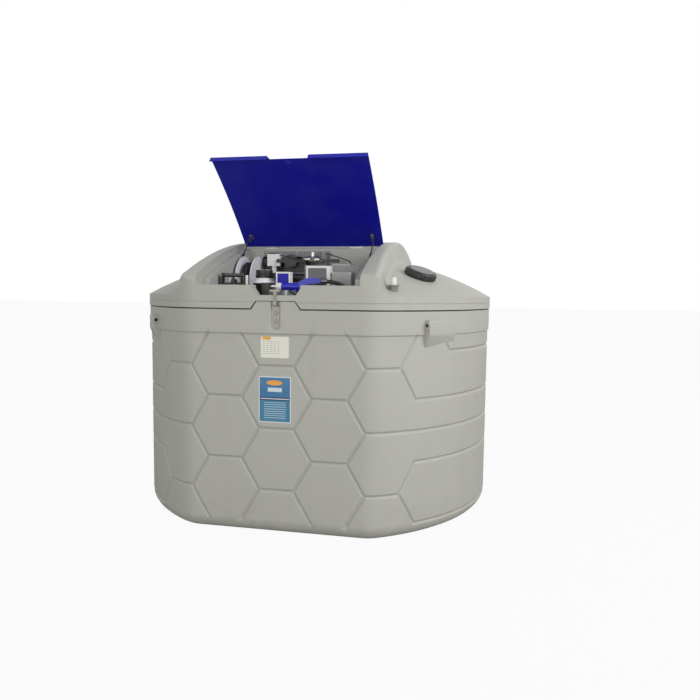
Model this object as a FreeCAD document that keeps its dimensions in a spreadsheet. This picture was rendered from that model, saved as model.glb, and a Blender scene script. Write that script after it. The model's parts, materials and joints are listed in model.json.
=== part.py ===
import FreeCAD, Part
import math
import os
import Sketcher

# Round outdoor tank with a flat front, its moulded cover and the dispensing gear under the lid.
# Millimetres. The origin is on the ground at the centre of the round plan, the flat front
# looks towards -Y, +X is on the right of someone who stands in front of it.

os.makedirs("parts", exist_ok=True)
doc = FreeCAD.newDocument("FluidTank")

numbers = {
    # outer tank
    "tankRadius": 1178, "frontDepth": 1033.5, "cornerRound": 215, "bottomRound": 92, "tankWall": 12,
    "rimHeight": 1330, "ledgeHeight": 1192, "bandProud": 8,
    "tabRise": 49, "tabTopHalf": 115, "tabSlope": 33,
    "haspX": 0, "recessHalf": 27, "recessBottom": 1215, "recessTop": 1362, "recessDepth": 13,
    "hexSide": 212, "hexCentre": 819, "grooveWidth": 18, "grooveDepth": 6,
    "lugAngle": 38.8, "lugLength": 250, "lugProud": 40, "lugTaper": 30, "lugBottom": 1192,
    "lugHeight": 88, "lugSkirt": 70, "lugHole": 11, "lugHoleOut": 16,
    # inner tank
    "innerGap": 30, "innerWall": 8, "innerTop": 1292,
    # cover
    "sealHeight": 8, "skirtProud": 12, "skirtTop": 1413, "coverWall": 8,
    "grooveLine": 1374, "domeRadius": 1980, "domeEdgeAngle": 30, "coverRimTop": 1473,
    "humpHalf": 556, "humpDraft": 9, "humpPeak": 1787, "humpPeakY": 60, "humpRound": 30, "footRound": 32,
    "wellHalf": 445, "wellFront": 960, "wellBack": 250, "recessHalfWidth": 493,
    "notchHalf": 148, "notchBottom": 1415, "trayThick": 8,
    # lid
    "hingeY": -219.6, "hingeZ": 1744, "lidWidth": 974, "lidLength": 784, "lidThick": 4, "lidCrown": 18,
    "lidLip": 28, "lidDrop": 8, "lipRoom": 22, "hingeRoom": 9, "ledgeGap": 3,
    "lidOpen": 39.7, "lidClosed": 17.4, "lidNotchHalf": 118, "lidNotchDeep": 27,
    "hingeX": 300, "leafWidth": 90, "leafThick": 3, "hingePin": 4,
    "strutX": 434, "strutAt": 100, "strutUnder": 30, "strutDrop": 170, "strutBack": 300,
    "strutRadius": 8, "strutRodRadius": 4, "cylinderLength": 150, "strutRodLength": 185,
    # fittings on the roof
    "capRadius": 98, "capHeight": 44, "capBearing": -34.2, "capReach": 926, "neckRadius": 80,
    "ventX": 660, "ventY": -896, "ventRadius": 33, "ventPipeRadius": 16.5, "ventPipe": 42,
    # hose reel
    "reelX": -372, "reelDish": 12, "reelY": -430, "reelZ": 1490, "reelRadius": 176, "reelWidth": 72, "hubRadius": 70,
    "hoseRadius": 11.5, "shaftRadius": 12,
    "seatGap": 0.3, "pinPlay": 0.05,
}

sheet = doc.addObject("Spreadsheet::Sheet", "Sizes")
for row, (alias, value) in enumerate(numbers.items(), start=1):
    sheet.set(f"A{row}", alias)
    sheet.set(f"B{row}", str(value))
    sheet.setAlias(f"B{row}", alias)
doc.recompute()


class Size:
    # a number together with the text that binds a property to the sheet
    def __init__(self, value, text):
        self.value = float(value)
        self.text = text

    def __float__(self):
        return self.value

    def __add__(self, other):
        return join(self, other, "+", lambda a, b: a + b)

    def __radd__(self, other):
        return join(other, self, "+", lambda a, b: a + b)

    def __sub__(self, other):
        return join(self, other, "-", lambda a, b: a - b)

    def __rsub__(self, other):
        return join(other, self, "-", lambda a, b: a - b)

    def __mul__(self, other):
        return join(self, other, "*", lambda a, b: a * b)

    def __rmul__(self, other):
        return join(other, self, "*", lambda a, b: a * b)

    def __truediv__(self, other):
        return join(self, other, "/", lambda a, b: a / b)

    def __neg__(self):
        return Size(-self.value, f"(0 - {self.text})")


def sized(thing):
    if isinstance(thing, Size):
        return thing
    return Size(thing, f"({float(thing)})")


def join(left, right, sign, rule):
    left = sized(left)
    right = sized(right)
    return Size(rule(left.value, right.value), f"({left.text} {sign} {right.text})")


class Sheet:
    # every alias of the sheet as an attribute
    pass


size = Sheet()
for alias, value in numbers.items():
    setattr(size, alias, Size(value, f"Sizes.{alias}"))


def vector(x=0, y=0, z=0):
    return FreeCAD.Vector(float(x), float(y), float(z))


def bind(item, **lengths):
    # property names are written with an underscore for each dot
    for path, length in lengths.items():
        item.setExpression(path.replace("_", "."), sized(length).text)


def place(item, at, turn=None):
    item.Placement = FreeCAD.Placement(vector(*at), turn or FreeCAD.Rotation())
    for axis, length in zip("xyz", at):
        if isinstance(length, Size):
            item.setExpression(f"Placement.Base.{axis}", length.text)
    return item


turns = {
    "x": FreeCAD.Rotation(vector(0, 1, 0), 90),
    "y": FreeCAD.Rotation(vector(1, 0, 0), -90),
    "-y": FreeCAD.Rotation(vector(1, 0, 0), 90),
    "z": FreeCAD.Rotation(),
}


def block(name, span, at):
    # a box by its width, depth and height, and the centre of its lower face
    item = doc.addObject("Part::Box", name)
    width, depth, height = [sized(length) for length in span]
    bind(item, Length=width, Width=depth, Height=height)
    return place(item, (sized(at[0]) - width / 2, sized(at[1]) - depth / 2, sized(at[2])))


def rod(name, radius, length, at, axis="z"):
    item = doc.addObject("Part::Cylinder", name)
    bind(item, Radius=radius, Height=length)
    return place(item, [sized(part) for part in at], turns[axis])


def taper(name, radius1, radius2, length, at, axis="z"):
    item = doc.addObject("Part::Cone", name)
    bind(item, Radius1=radius1, Radius2=radius2, Height=length)
    return place(item, [sized(part) for part in at], turns[axis])


def ring(name, radius, thick, at, axis="z"):
    item = doc.addObject("Part::Torus", name)
    bind(item, Radius1=radius, Radius2=thick)
    return place(item, [sized(part) for part in at], turns[axis])


def fuse(name, *pieces):
    item = doc.addObject("Part::MultiFuse", name)
    item.Shapes = list(pieces)
    item.Refine = True
    return item


def cut(name, base, *tools):
    item = doc.addObject("Part::Cut", name)
    item.Base = base
    item.Tool = tools[0] if len(tools) == 1 else fuse(name + "Tools", *tools)
    item.Refine = True
    return item


def common(name, *pieces):
    item = doc.addObject("Part::MultiCommon", name)
    item.Shapes = list(pieces)
    item.Refine = True
    return item


def shaped(name, shape):
    item = doc.addObject("Part::Feature", name)
    item.Shape = shape
    return item


def edges(item, rule):
    # names of the edges whose middle point and ends satisfy a rule
    found = []
    for index, edge in enumerate(item.Shape.Edges, start=1):
        middle = edge.valueAt((edge.FirstParameter + edge.LastParameter) / 2)
        if rule(middle, edge):
            found.append(index)
    return found


def rounded(name, source, radius, rule):
    doc.recompute()
    item = doc.addObject("Part::Fillet", name)
    item.Base = source
    item.Edges = [(index, float(radius), float(radius)) for index in edges(source, rule)]
    return item


def body(name):
    return doc.addObject("PartDesign::Body", name)


def plane(owner, role):
    for feature in owner.Origin.OriginFeatures:
        if feature.Role == role:
            return feature
    return None


def sketch(owner, role, name, offset=None):
    item = owner.newObject("Sketcher::SketchObject", name)
    item.AttachmentSupport = (plane(owner, role), "")
    item.MapMode = "FlatFace"
    if offset is not None:
        item.AttachmentOffset = FreeCAD.Placement(vector(0, 0, offset), FreeCAD.Rotation())
        item.setExpression("AttachmentOffset.Base.z", sized(offset).text)
    return item


def pin_point(item, geometry, end, point):
    # ties one end of a line or arc to its coordinates
    for kind, axis, length in (("DistanceX", -2, point[0]), ("DistanceY", -1, point[1])):
        length = sized(length)
        if abs(length.value) < 1e-9:
            item.addConstraint(Sketcher.Constraint("PointOnObject", geometry, end, axis))
            continue
        index = item.addConstraint(Sketcher.Constraint(kind, -1, 1, geometry, end, length.value))
        item.setExpression(f"Constraints[{index}]", length.text)


def outline(item, points):
    # a closed outline of straight lines whose corners are tied to their coordinates
    first = len(item.Geometry)
    count = len(points)
    for index, point in enumerate(points):
        item.addGeometry(Part.LineSegment(vector(*points[index - 1]), vector(*point)), False)
    for index in range(count):
        before = first + (index - 1) % count
        item.addConstraint(Sketcher.Constraint("Coincident", before, 2, first + index, 1))
        pin_point(item, first + index, 1, points[index - 1])
    return item


def section(name, across, points):
    # a flat face from lines and arcs: a point is (x, y), and an arc is given as (middle, end)
    # across is the axis that the face stands square to
    def lift(point):
        if across == "x":
            return vector(0, point[0], point[1])
        if across == "y":
            return vector(point[0], 0, point[1])
        return vector(point[0], point[1], 0)

    corners = [point[1] if isinstance(point[0], tuple) else point for point in points]
    curves = []
    for index, point in enumerate(points):
        start = lift(corners[index - 1])
        if isinstance(point[0], tuple):
            curves.append(Part.Arc(start, lift(point[0]), lift(corners[index])).toShape())
        else:
            curves.append(Part.makeLine(start, lift(corners[index])))
    return shaped(name, Part.Face(Part.Wire(curves)))


def extrude(name, face, direction, length, both=True):
    item = doc.addObject("Part::Extrusion", name)
    item.Base = face
    item.DirMode = "Custom"
    item.Dir = vector(*direction)
    item.Solid = True
    item.Symmetric = both
    item.LengthFwd = float(length)
    item.setExpression("LengthFwd", sized(length).text)
    return item


def turned(name, face):
    item = doc.addObject("Part::Revolution", name)
    item.Source = face
    item.Axis = vector(0, 0, 1)
    item.Angle = 360
    item.Solid = True
    return item


def circle(item, centre, radius):
    index = item.addGeometry(Part.Circle(vector(*centre), vector(0, 0, 1), float(radius)), False)
    pin_point(item, index, 3, centre)
    mark = item.addConstraint(Sketcher.Constraint("Radius", index, float(radius)))
    item.setExpression(f"Constraints[{mark}]", sized(radius).text)
    return item


def pad(owner, profile, length, both=False, back=False):
    item = owner.newObject("PartDesign::Pad", profile.Name + "Pad")
    item.Profile = profile
    item.Length = float(length)
    item.setExpression("Length", sized(length).text)
    item.Midplane = both
    item.Reversed = back
    return item


def pocket(owner, profile, length=None, both=False, back=False):
    item = owner.newObject("PartDesign::Pocket", profile.Name + "Pocket")
    item.Profile = profile
    if length is None:
        item.Type = "ThroughAll"
    else:
        item.Length = float(length)
        item.setExpression("Length", sized(length).text)
    item.Midplane = both
    item.Reversed = back
    return item


def lathe(owner, profile, kind="PartDesign::Revolution", axis="V_Axis"):
    item = owner.newObject(kind, profile.Name + "Turn")
    item.Profile = profile
    item.ReferenceAxis = (profile, [axis])
    item.Angle = 360
    return item


def round_edges(owner, base, radius, rule):
    doc.recompute()
    item = owner.newObject("PartDesign::Fillet", base.Name + "Round")
    item.Base = (base, [f"Edge{index}" for index in edges(base, rule)])
    item.Radius = float(radius)
    item.setExpression("Radius", sized(radius).text)
    return item


def polar(owner, feature, count):
    doc.recompute()
    item = owner.newObject("PartDesign::PolarPattern", feature.Name + "Ring")
    item.Originals = [feature]
    item.Axis = (feature.Profile[0], ["N_Axis"])
    item.Angle = 360
    item.Occurrences = count
    owner.Tip = item
    return item


# plan: a circle with a flat front and two round corners


class Plan:
    def __init__(self, radius, front, corner):
        self.radius = float(radius)
        self.front = float(front)
        self.corner = float(corner)
        self.y = self.front - self.corner
        self.x = math.sqrt((self.radius - self.corner) ** 2 - self.y ** 2)
        self.low = math.atan2(self.y, self.x)
        self.turn = math.pi / 2 - self.low
        self.bend = self.corner * self.turn

    def at(self, run):
        # point and outward direction at a distance along the wall from the middle of the front
        side = 1 if run >= 0 else -1
        run = abs(run)
        if run <= self.x:
            return vector(side * run, -self.front), vector(0, -1)
        if run <= self.x + self.bend:
            angle = -math.pi / 2 + (run - self.x) / self.corner
            out = vector(math.cos(angle), math.sin(angle))
            point = vector(self.x, -self.y) + out * self.corner
        else:
            angle = -self.low + (run - self.x - self.bend) / self.radius
            out = vector(math.cos(angle), math.sin(angle))
            point = out * self.radius
        return vector(side * point.x, point.y), vector(side * out.x, out.y)


def plan_pad(name, radius, front, corner, bottom, top, bottom_round=None):
    owner = body(name)
    item = sketch(owner, "XY_Plane", name + "Plan", bottom)
    plan = Plan(radius, front, corner)
    axis = vector(0, 0, 1)
    big = Part.Circle(vector(), axis, plan.radius)
    right = Part.Circle(vector(plan.x, -plan.y), axis, plan.corner)
    left = Part.Circle(vector(-plan.x, -plan.y), axis, plan.corner)
    item.addGeometry(Part.ArcOfCircle(big, -plan.low, math.pi + plan.low), False)
    item.addGeometry(Part.ArcOfCircle(right, -math.pi / 2, -plan.low), False)
    item.addGeometry(Part.ArcOfCircle(left, math.pi + plan.low, 1.5 * math.pi), False)
    item.addGeometry(Part.LineSegment(vector(-plan.x, -plan.front), vector(plan.x, -plan.front)), False)
    for first, end, second, start in ((1, 2, 0, 1), (0, 2, 2, 1), (2, 2, 3, 1), (3, 2, 1, 1)):
        item.addConstraint(Sketcher.Constraint("Tangent", first, end, second, start))
    item.addConstraint(Sketcher.Constraint("Coincident", 0, 3, -1, 1))
    item.addConstraint(Sketcher.Constraint("Horizontal", 3))
    item.addConstraint(Sketcher.Constraint("Equal", 1, 2))
    for kind, place_on, length in (("Radius", (0,), radius), ("Radius", (1,), corner)):
        index = item.addConstraint(Sketcher.Constraint(kind, *place_on, float(length)))
        item.setExpression(f"Constraints[{index}]", sized(length).text)
    index = item.addConstraint(Sketcher.Constraint("DistanceY", -1, 1, 3, 1, -float(front)))
    item.setExpression(f"Constraints[{index}]", (-sized(front)).text)
    solid = pad(owner, item, sized(top) - bottom)
    if bottom_round is not None:
        low = float(bottom)
        round_edges(owner, solid, bottom_round, lambda middle, edge: abs(middle.z - low) < 1e-6)
    return owner


# outer tank: one moulding, open at the top, with a raised band, a tab and hexagon grooves

def groove_bar(plan, start, end, wide, deep):
    # one straight V groove between two points of the wall, given as (run along the wall, height)
    step = vector(end[0] - start[0], end[1] - start[1])
    step.normalize()
    start = (start[0] - step.x * wide / 3, start[1] - step.y * wide / 3)
    end = (end[0] + step.x * wide / 3, end[1] + step.y * wide / 3)
    low, high = sorted((abs(start[0]), abs(end[0])))
    marks = [0.0, 1.0]
    if start[0] * end[0] >= 0 and high > plan.x and low < plan.x + plan.bend:
        marks = [part / 6 for part in range(7)]
    sections = []
    for mark in marks:
        run = start[0] + (end[0] - start[0]) * mark
        height = start[1] + (end[1] - start[1]) * mark
        point, out = plan.at(run)
        point.z = height
        along = vector(0, 0, 1).cross(out)
        aside = vector(0, 0, 1) * step.x - along * step.y
        over = deep / 4
        reach = wide / 2 * (1 + over / deep)
        triangle = [point - out * deep, point + out * over + aside * reach, point + out * over - aside * reach]
        sections.append(Part.makePolygon(triangle + triangle[:1]))
    return Part.makeLoft(sections, True, True)


def groove_round(plan, start_run, height, wide, deep):
    # a level V groove that runs right round the back, from a run on the right to the same on the left
    over = deep / 4
    reach = wide / 2 * (1 + over / deep)
    angle = math.degrees(-plan.low + (start_run - plan.x - plan.bend) / plan.radius)
    points = [
        vector(plan.radius - deep, 0, height),
        vector(plan.radius + over, 0, height + reach),
        vector(plan.radius + over, 0, height - reach),
    ]
    face = Part.Face(Part.makePolygon(points + points[:1]))
    face.rotate(vector(), vector(0, 0, 1), angle)
    return face.revolve(vector(), vector(0, 0, 1), 180 - 2 * angle)


def hexagon_grooves(plan):
    side = float(size.hexSide)
    half = math.sqrt(3) / 2
    wide = float(size.grooveWidth)
    deep = float(size.grooveDepth)
    centre = float(size.hexCentre)
    # corners as (run, height) in sides of the hexagon; the right half, mirrored to the left
    lines = [
        ((0.5, half), (1, 0)), ((1, 0), (0.5, -half)), ((0.5, -half), (1, -2 * half)),
        ((1, -2 * half), (0.5, -3 * half)), ((0.5, -3 * half), (1, -4 * half)),
        ((0.5, half), (1, 2 * half)), ((2, 2 * half), (2.5, half)), ((1, 0), (2, 0)),
        ((2.5, half), (2, 0)), ((2, 0), (2.5, -half)), ((1, -2 * half), (2, -2 * half)),
        ((2.5, -half), (2, -2 * half)), ((2, -2 * half), (2.5, -3 * half)),
        ((2.5, -3 * half), (2, -4 * half)), ((2.5, half), (3.5, half)),
        ((2.5, -3 * half), (3.5, -3 * half)), ((3.5, half), (4, 2 * half)), ((3.5, half), (4, 0)),
        ((5, 2 * half), (5.25, 1.5 * half)), ((3.5, -3 * half), (4, -2 * half)),
        ((3.5, -3 * half), (4, -4 * half)), ((2.5, -half), (3.2, -half)),
    ]
    round_lines = [(3.2, -half), (4, 0), (4, -2 * half), (4, -4 * half), (5.25, 1.5 * half)]
    bars = []
    for level in (half, -half, -3 * half):
        ends = [(part * side / 2, centre + level * side) for part in (-1, 1)]
        bars.append(groove_bar(plan, ends[0], ends[1], wide, deep))
    for start, end in lines:
        for hand in (1, -1):
            ends = [(hand * run * side, centre + level * side) for run, level in (start, end)]
            bars.append(groove_bar(plan, ends[0], ends[1], wide, deep))
    for run, level in round_lines:
        bars.append(groove_round(plan, run * side, centre + level * side, wide, deep))
    return bars


def lug(name, hand):
    # moulded lifting lug: a block along the wall with a hole through it and a sloped underside
    angle = -size.lugAngle if hand > 0 else size.lugAngle + 180
    length = float(size.lugLength)
    low = float(size.lugBottom)
    top = low + float(size.lugHeight)
    wall = float(size.tankRadius) - float(size.tankWall) / 2
    face = float(size.tankRadius) + float(size.lugProud)
    taper_in = float(size.lugTaper)
    side = -hand
    near = [(wall, side * length / 2), (face, side * length / 2), (face - taper_in, -side * length / 2),
            (wall - taper_in / 2, -side * length / 2)]
    shape = Part.Face(Part.makePolygon([vector(*point, low) for point in near + near[:1]]))
    shape = shape.extrude(vector(0, 0, top - low))
    foot = [(wall, side * length / 2), (wall + 6, side * length / 2), (wall - taper_in / 2 + 6, -side * length / 2),
            (wall - taper_in / 2, -side * length / 2)]
    upper = Part.makePolygon([vector(*point, low) for point in near + near[:1]])
    lower = Part.makePolygon([vector(*point, low - float(size.lugSkirt)) for point in foot + foot[:1]])
    shape = shape.fuse(Part.makeLoft([upper, lower], True, True)).removeSplitter()
    hole = Part.makeCylinder(
        float(size.lugHole), length + 40,
        vector(float(size.tankRadius) + float(size.lugHoleOut), -length / 2 - 20, (low + top) / 2 + 14),
        vector(0, 1, 0))
    outer = [edge for edge in shape.Edges
             if edge.CenterOfMass.x > wall + 15 and edge.CenterOfMass.z > low - 1]
    shape = shape.makeFillet(8, outer).cut(hole)
    shape.rotate(vector(), vector(0, 0, 1), float(angle))
    return shaped(name, shape)


def make_outer_tank():
    radius = size.tankRadius
    front = size.frontDepth
    corner = size.cornerRound
    form = plan_pad("tankForm", radius, front, corner, 0, size.rimHeight, size.bottomRound)
    band = plan_pad("tankBand", radius + size.bandProud, front + size.bandProud, corner, size.ledgeHeight,
                    size.rimHeight)
    hollow = plan_pad("tankHollow", radius - size.tankWall, front - size.tankWall, corner - size.tankWall,
                      size.tankWall, size.rimHeight + 10, size.bottomRound - size.tankWall)
    doc.recompute()
    tab = body("tankTab")
    face = size.frontDepth + size.bandProud
    tab_sketch = sketch(tab, "XZ_Plane", "tabFace", face - size.tankWall - size.bandProud)
    top = size.rimHeight + size.tabRise
    wide = size.tabTopHalf + size.tabSlope
    outline(tab_sketch, [(-wide, size.rimHeight - 20), (wide, size.rimHeight - 20), (wide, size.rimHeight),
                         (size.tabTopHalf, top), (-size.tabTopHalf, top), (-wide, size.rimHeight)])
    pad(tab, tab_sketch, size.tankWall + size.bandProud)
    backing = block("haspBacking", (size.recessHalf * 2 + 40, 16, size.recessTop - size.recessBottom + 12),
                    (size.haspX, -(front - size.tankWall - 6), size.recessBottom - 14))
    recess_middle = size.recessBottom + size.recessHalf
    recess = fuse("haspRecess",
                  block("haspRecessSlot", (size.recessHalf * 2, size.recessDepth * 2,
                                           size.recessTop + 30 - recess_middle),
                        (size.haspX, -face, recess_middle)),
                  rod("haspRecessEnd", size.recessHalf, size.recessDepth * 2,
                      (size.haspX, -face - size.recessDepth, recess_middle), "y"))
    plan = Plan(radius, front, corner)
    doc.recompute()
    grooves = doc.addObject("Part::Compound", "grooves")
    grooves.Links = [shaped(f"groove{index}", bar) for index, bar in enumerate(hexagon_grooves(plan))]
    walls = fuse("tankWalls", form, band, lug("lugRight", 1), lug("lugLeft", -1))
    shell = cut("tankShell", walls, hollow)
    shell = fuse("tankShellTab", shell, tab, backing)
    doc.recompute()
    shape = shell.Shape.cut(recess.Shape).cut([bar.Shape for bar in grooves.Links])
    return shaped("outer_tank", shape)


def make_inner_tank():
    inset = size.tankWall + size.innerGap
    form = plan_pad("innerForm", size.tankRadius - inset, size.frontDepth - inset, size.cornerRound - inset,
                    size.tankWall, size.innerTop, 60)
    wall = inset + size.innerWall
    hollow = plan_pad("innerHollow", size.tankRadius - wall, size.frontDepth - wall, size.cornerRound - wall,
                      size.tankWall + size.innerWall, size.innerTop - size.innerWall, 52)
    return cut("inner_tank", form, hollow)


# cover: a low dome with a long raised part that carries the lid, moulded as one shell

def dome_body(name, inset):
    edge = size.tankRadius + size.bandProud
    angle = math.radians(float(size.domeEdgeAngle))
    reach = size.domeRadius * math.sin(angle)
    drop = size.domeRadius * math.cos(angle)
    middle = size.domeRadius * math.sin(angle / 2)
    middle_drop = size.domeRadius * math.cos(angle / 2)
    flat = edge - reach
    centre_z = size.skirtTop - drop
    low = size.rimHeight + size.sealHeight
    outer = edge + 40
    face = section(name + "Profile", "y", [
        (0, low - 20), (outer, low - 20), (outer, size.skirtTop - inset),
        (edge - inset / 2, size.skirtTop - inset),
        ((flat + middle, centre_z + middle_drop - inset), (flat, centre_z + size.domeRadius - inset)),
        (0, centre_z + size.domeRadius - inset),
    ])
    return turned(name, face)


def hump_body(name, inset):
    front = size.frontDepth + size.skirtProud - 6 - inset
    peak = size.humpPeak - inset
    base = size.rimHeight + size.sealHeight - (0 if float(inset) == 0 else 20)
    side = section(name + "Side", "x", [
        (-front, base), (700, base), (760, 1480 - inset), (640, 1622 - inset),
        ((370, 1747 - inset), (size.humpPeakY, peak)),
        ((-500, peak - 73), (-985 + inset, peak - 237)),
        ((-front + 14, peak - 262), (-front, peak - 300)),
    ])
    lean = math.tan(math.radians(float(size.humpDraft)))
    high = size.humpPeak + 20
    half_top = size.humpHalf - inset
    half_low = half_top + (high - base) * lean
    ends = section(name + "Ends", "y", [
        (-half_low, base), (half_low, base), (half_top, high), (-half_top, high)])
    return common(name, extrude(name + "Long", side, (1, 0, 0), 1600),
                  extrude(name + "Wide", ends, (0, 1, 0), 3000))


def hump_corner(middle, edge):
    # the long edges between the top of the hump and its two sides
    box = edge.BoundBox
    return abs(middle.x) > 500 and box.ZMax > 1460 and box.YLength > 10


def hump_foot(middle, edge):
    # the edges where the hump stands on the dome, but for those of its front
    if middle.y < -1015 or edge.Length < 3 or max(abs(edge.BoundBox.XMin), abs(edge.BoundBox.XMax)) > 640:
        return False
    for point in edge.discretize(5):
        reach = math.hypot(point.x, point.y)
        if reach > 1190 or abs(roof_height(reach)[0] - point.z) > 4:
            return False
    return True


def ledge_points(drop, grow):
    # the line that the closed lid rests on, from the front rim up to the hinge
    angle = math.radians(float(size.lidClosed))
    length = size.lidLength
    far_y = size.hingeY - length * math.cos(angle) - grow
    far_z = size.hingeZ - length * math.sin(angle)
    mid_y = size.hingeY - length * (math.cos(angle) / 2) + size.lidCrown * math.sin(angle) * -1
    mid_z = size.hingeZ - length * (math.sin(angle) / 2) + size.lidCrown * math.cos(angle)
    back_y = size.hingeY + 16 + grow
    return far_y, far_z - drop, mid_y, mid_z - drop, back_y


def lid_recess(name, grow):
    far_y, far_z, mid_y, mid_z, back_y = ledge_points(size.lidDrop + size.ledgeGap + grow, 0)
    hinge_ledge = size.hingeZ - size.lidDrop - size.ledgeGap - grow
    rim = size.coverRimTop - grow
    side = section(name + "Side", "x", [
        (-1100, rim), (far_y - 14, rim), (far_y, far_z),
        ((mid_y, mid_z), (size.hingeY, hinge_ledge)),
        (back_y + grow, hinge_ledge), (back_y + grow + 30, 1900), (-1100, 1900),
    ])
    wide = (size.recessHalfWidth + grow) * 2
    # room for the lip of the shut lid, which hangs lower than the ledge
    lip_room = block(name + "Lip", (wide, 200, 500), (0, far_y + size.lipRoom + grow - 100, rim))
    return fuse(name, extrude(name + "Long", side, (1, 0, 0), wide), lip_room)


def notch_body(name, grow):
    owner = body(name)
    item = sketch(owner, "XZ_Plane", name + "Face", size.wellFront - 10)
    half = size.notchHalf + grow
    low = size.notchBottom - grow
    outline(item, [(-half + 26, low), (half - 26, low), (half, low + 40), (half, 1560), (-half, 1560),
                   (-half, low + 40)])
    pad(owner, item, 200)
    return owner


def well_body(name, grow, bottom):
    depth = size.wellFront - size.wellBack
    middle = -(size.wellFront + size.wellBack) / 2
    return block(name, ((size.wellHalf + grow) * 2, depth + 2 * sized(grow), 1900 - sized(bottom)),
                 (0, middle, bottom))


def make_cover():
    wall = size.coverWall
    base = size.rimHeight + size.sealHeight
    skirt = size.skirtProud
    pieces = []
    for kind, inset in (("Outer", 0.0), ("Inner", wall)):
        inset = sized(inset)
        radius = size.tankRadius + skirt - inset
        front = size.frontDepth + skirt - inset
        corner = size.cornerRound + 4 - inset
        low = base if kind == "Outer" else base - 20
        high = size.skirtTop - inset
        skirt_pad = plan_pad("skirt" + kind, radius, front, corner, low, high)
        roof_plan = plan_pad("roofPlan" + kind, radius - 6, front - 6, corner, low, 1950)
        hump = rounded("humpRound" + kind, hump_body("hump" + kind, inset), size.humpRound - inset,
                       hump_corner)
        top = fuse("top" + kind, dome_body("dome" + kind, inset), hump)
        if kind == "Outer":
            top = rounded("footRound", top, size.footRound, hump_foot)
        form = fuse("coverForm" + kind, skirt_pad, common("roof" + kind, top, roof_plan))
        well = well_body("well" + kind, inset, base - 40)
        form = cut("coverCut" + kind, form, well, lid_recess("lidRecess" + kind, inset),
                   notch_body("notch" + kind, inset))
        pieces.append(form)
    shell = cut("coverShell", pieces[0], pieces[1])
    line = plan_pad("coverLineOuter", size.tankRadius + skirt + 5, size.frontDepth + skirt + 5,
                    size.cornerRound, size.grooveLine - 2.5, size.grooveLine + 2.5)
    line_core = plan_pad("coverLineCore", size.tankRadius + skirt - 3, size.frontDepth + skirt - 3,
                         size.cornerRound, size.grooveLine - 6, size.grooveLine + 6)
    tab_gap = body("tabGap")
    tab_sketch = sketch(tab_gap, "XZ_Plane", "tabGapFace", size.frontDepth - size.tankWall - 1)
    top = size.rimHeight + size.tabRise + size.seatGap + 3
    low_half = size.tabTopHalf + size.tabSlope + 5
    outline(tab_sketch, [(-low_half - 5, base - 12), (low_half + 5, base - 12), (low_half, base),
                         (size.tabTopHalf + 4, top), (-size.tabTopHalf - 4, top), (-low_half, base)])
    pad(tab_gap, tab_sketch, 60)
    neck_hole = on_roof(rod("neckHole", size.neckRadius + size.seatGap, 160, (0, 0, -80)))
    vent_hole = rod("ventHole", size.ventRadius - 8 + size.seatGap, 160, (size.ventX, size.ventY, size.skirtTop - 60))
    return cut("top_cover", shell, cut("coverLine", line, line_core), tab_gap, neck_hole, vent_hole)


def roof_height(reach):
    # height of the dome at a distance from the middle of the plan
    angle = math.radians(float(size.domeEdgeAngle))
    edge = float(size.tankRadius) + float(size.bandProud)
    radius = float(size.domeRadius)
    flat = edge - radius * math.sin(angle)
    centre = float(size.skirtTop) - radius * math.cos(angle)
    return centre + math.sqrt(radius ** 2 - (reach - flat) ** 2), math.degrees(math.asin((reach - flat) / radius))


def on_roof(item):
    # stands a fitting square on the dome where the filler opening is
    reach = float(size.capReach)
    height, lean = roof_height(reach)
    turn = FreeCAD.Rotation(vector(0, 0, 1), float(size.capBearing)).multiply(
        FreeCAD.Rotation(vector(0, 1, 0), lean))
    bearing = math.radians(float(size.capBearing))
    foot = vector(reach * math.cos(bearing), reach * math.sin(bearing), height)
    local = item.Placement.Base
    item.Placement = FreeCAD.Placement(foot + turn.multVec(local), turn)
    for axis in "xyz":
        item.setExpression(f"Placement.Base.{axis}", None)
    return item


def make_seal():
    radius = size.tankRadius + size.bandProud - 4
    front = size.frontDepth + size.bandProud - 4
    outer = plan_pad("sealOuter", radius, front, size.cornerRound, size.rimHeight,
                     size.rimHeight + size.sealHeight)
    width = size.tankWall + 2
    inner = plan_pad("sealInner", radius - width, front - width, size.cornerRound - width,
                     size.rimHeight - 5, size.rimHeight + size.sealHeight + 5)
    gap = block("sealTabGap", ((size.tabTopHalf + size.tabSlope + 1) * 2, 60, 60),
                (0, -size.frontDepth, size.rimHeight - 20))
    return cut("cover_seal", outer, inner, gap)


def make_tray():
    rise = size.rimHeight + size.sealHeight - size.innerTop
    outer = well_body("trayOuter", size.coverWall, size.innerTop)
    outer_top = block("trayTop", (1400, 1400, 900), (0, -600, size.innerTop + rise))
    inner = well_body("trayInner", 0, size.innerTop + size.trayThick)
    return cut("equipment_tray", outer, outer_top, inner)



# lid and what it carries, drawn flat with the hinge line on the X axis, then swung open

def on_lid(item):
    turn = FreeCAD.Rotation(vector(1, 0, 0), -float(size.lidOpen))
    return place(item, (sized(0), size.hingeY, size.hingeZ), turn)


def lid_skin(name, below, above, half, length):
    # a slab that follows the crown of the lid, between two heights under and over its lower face
    crown = size.lidCrown
    low = -size.lidDrop - below
    high = -size.lidDrop + above
    start = -size.hingeRoom
    face = section(name + "Side", "x", [
        (start, high), ((-length / 2, crown + high), (-length, high)),
        (-length, low), ((-length / 2, crown + low), (start, low))])
    return extrude(name, face, (1, 0, 0), half * 2)


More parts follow.
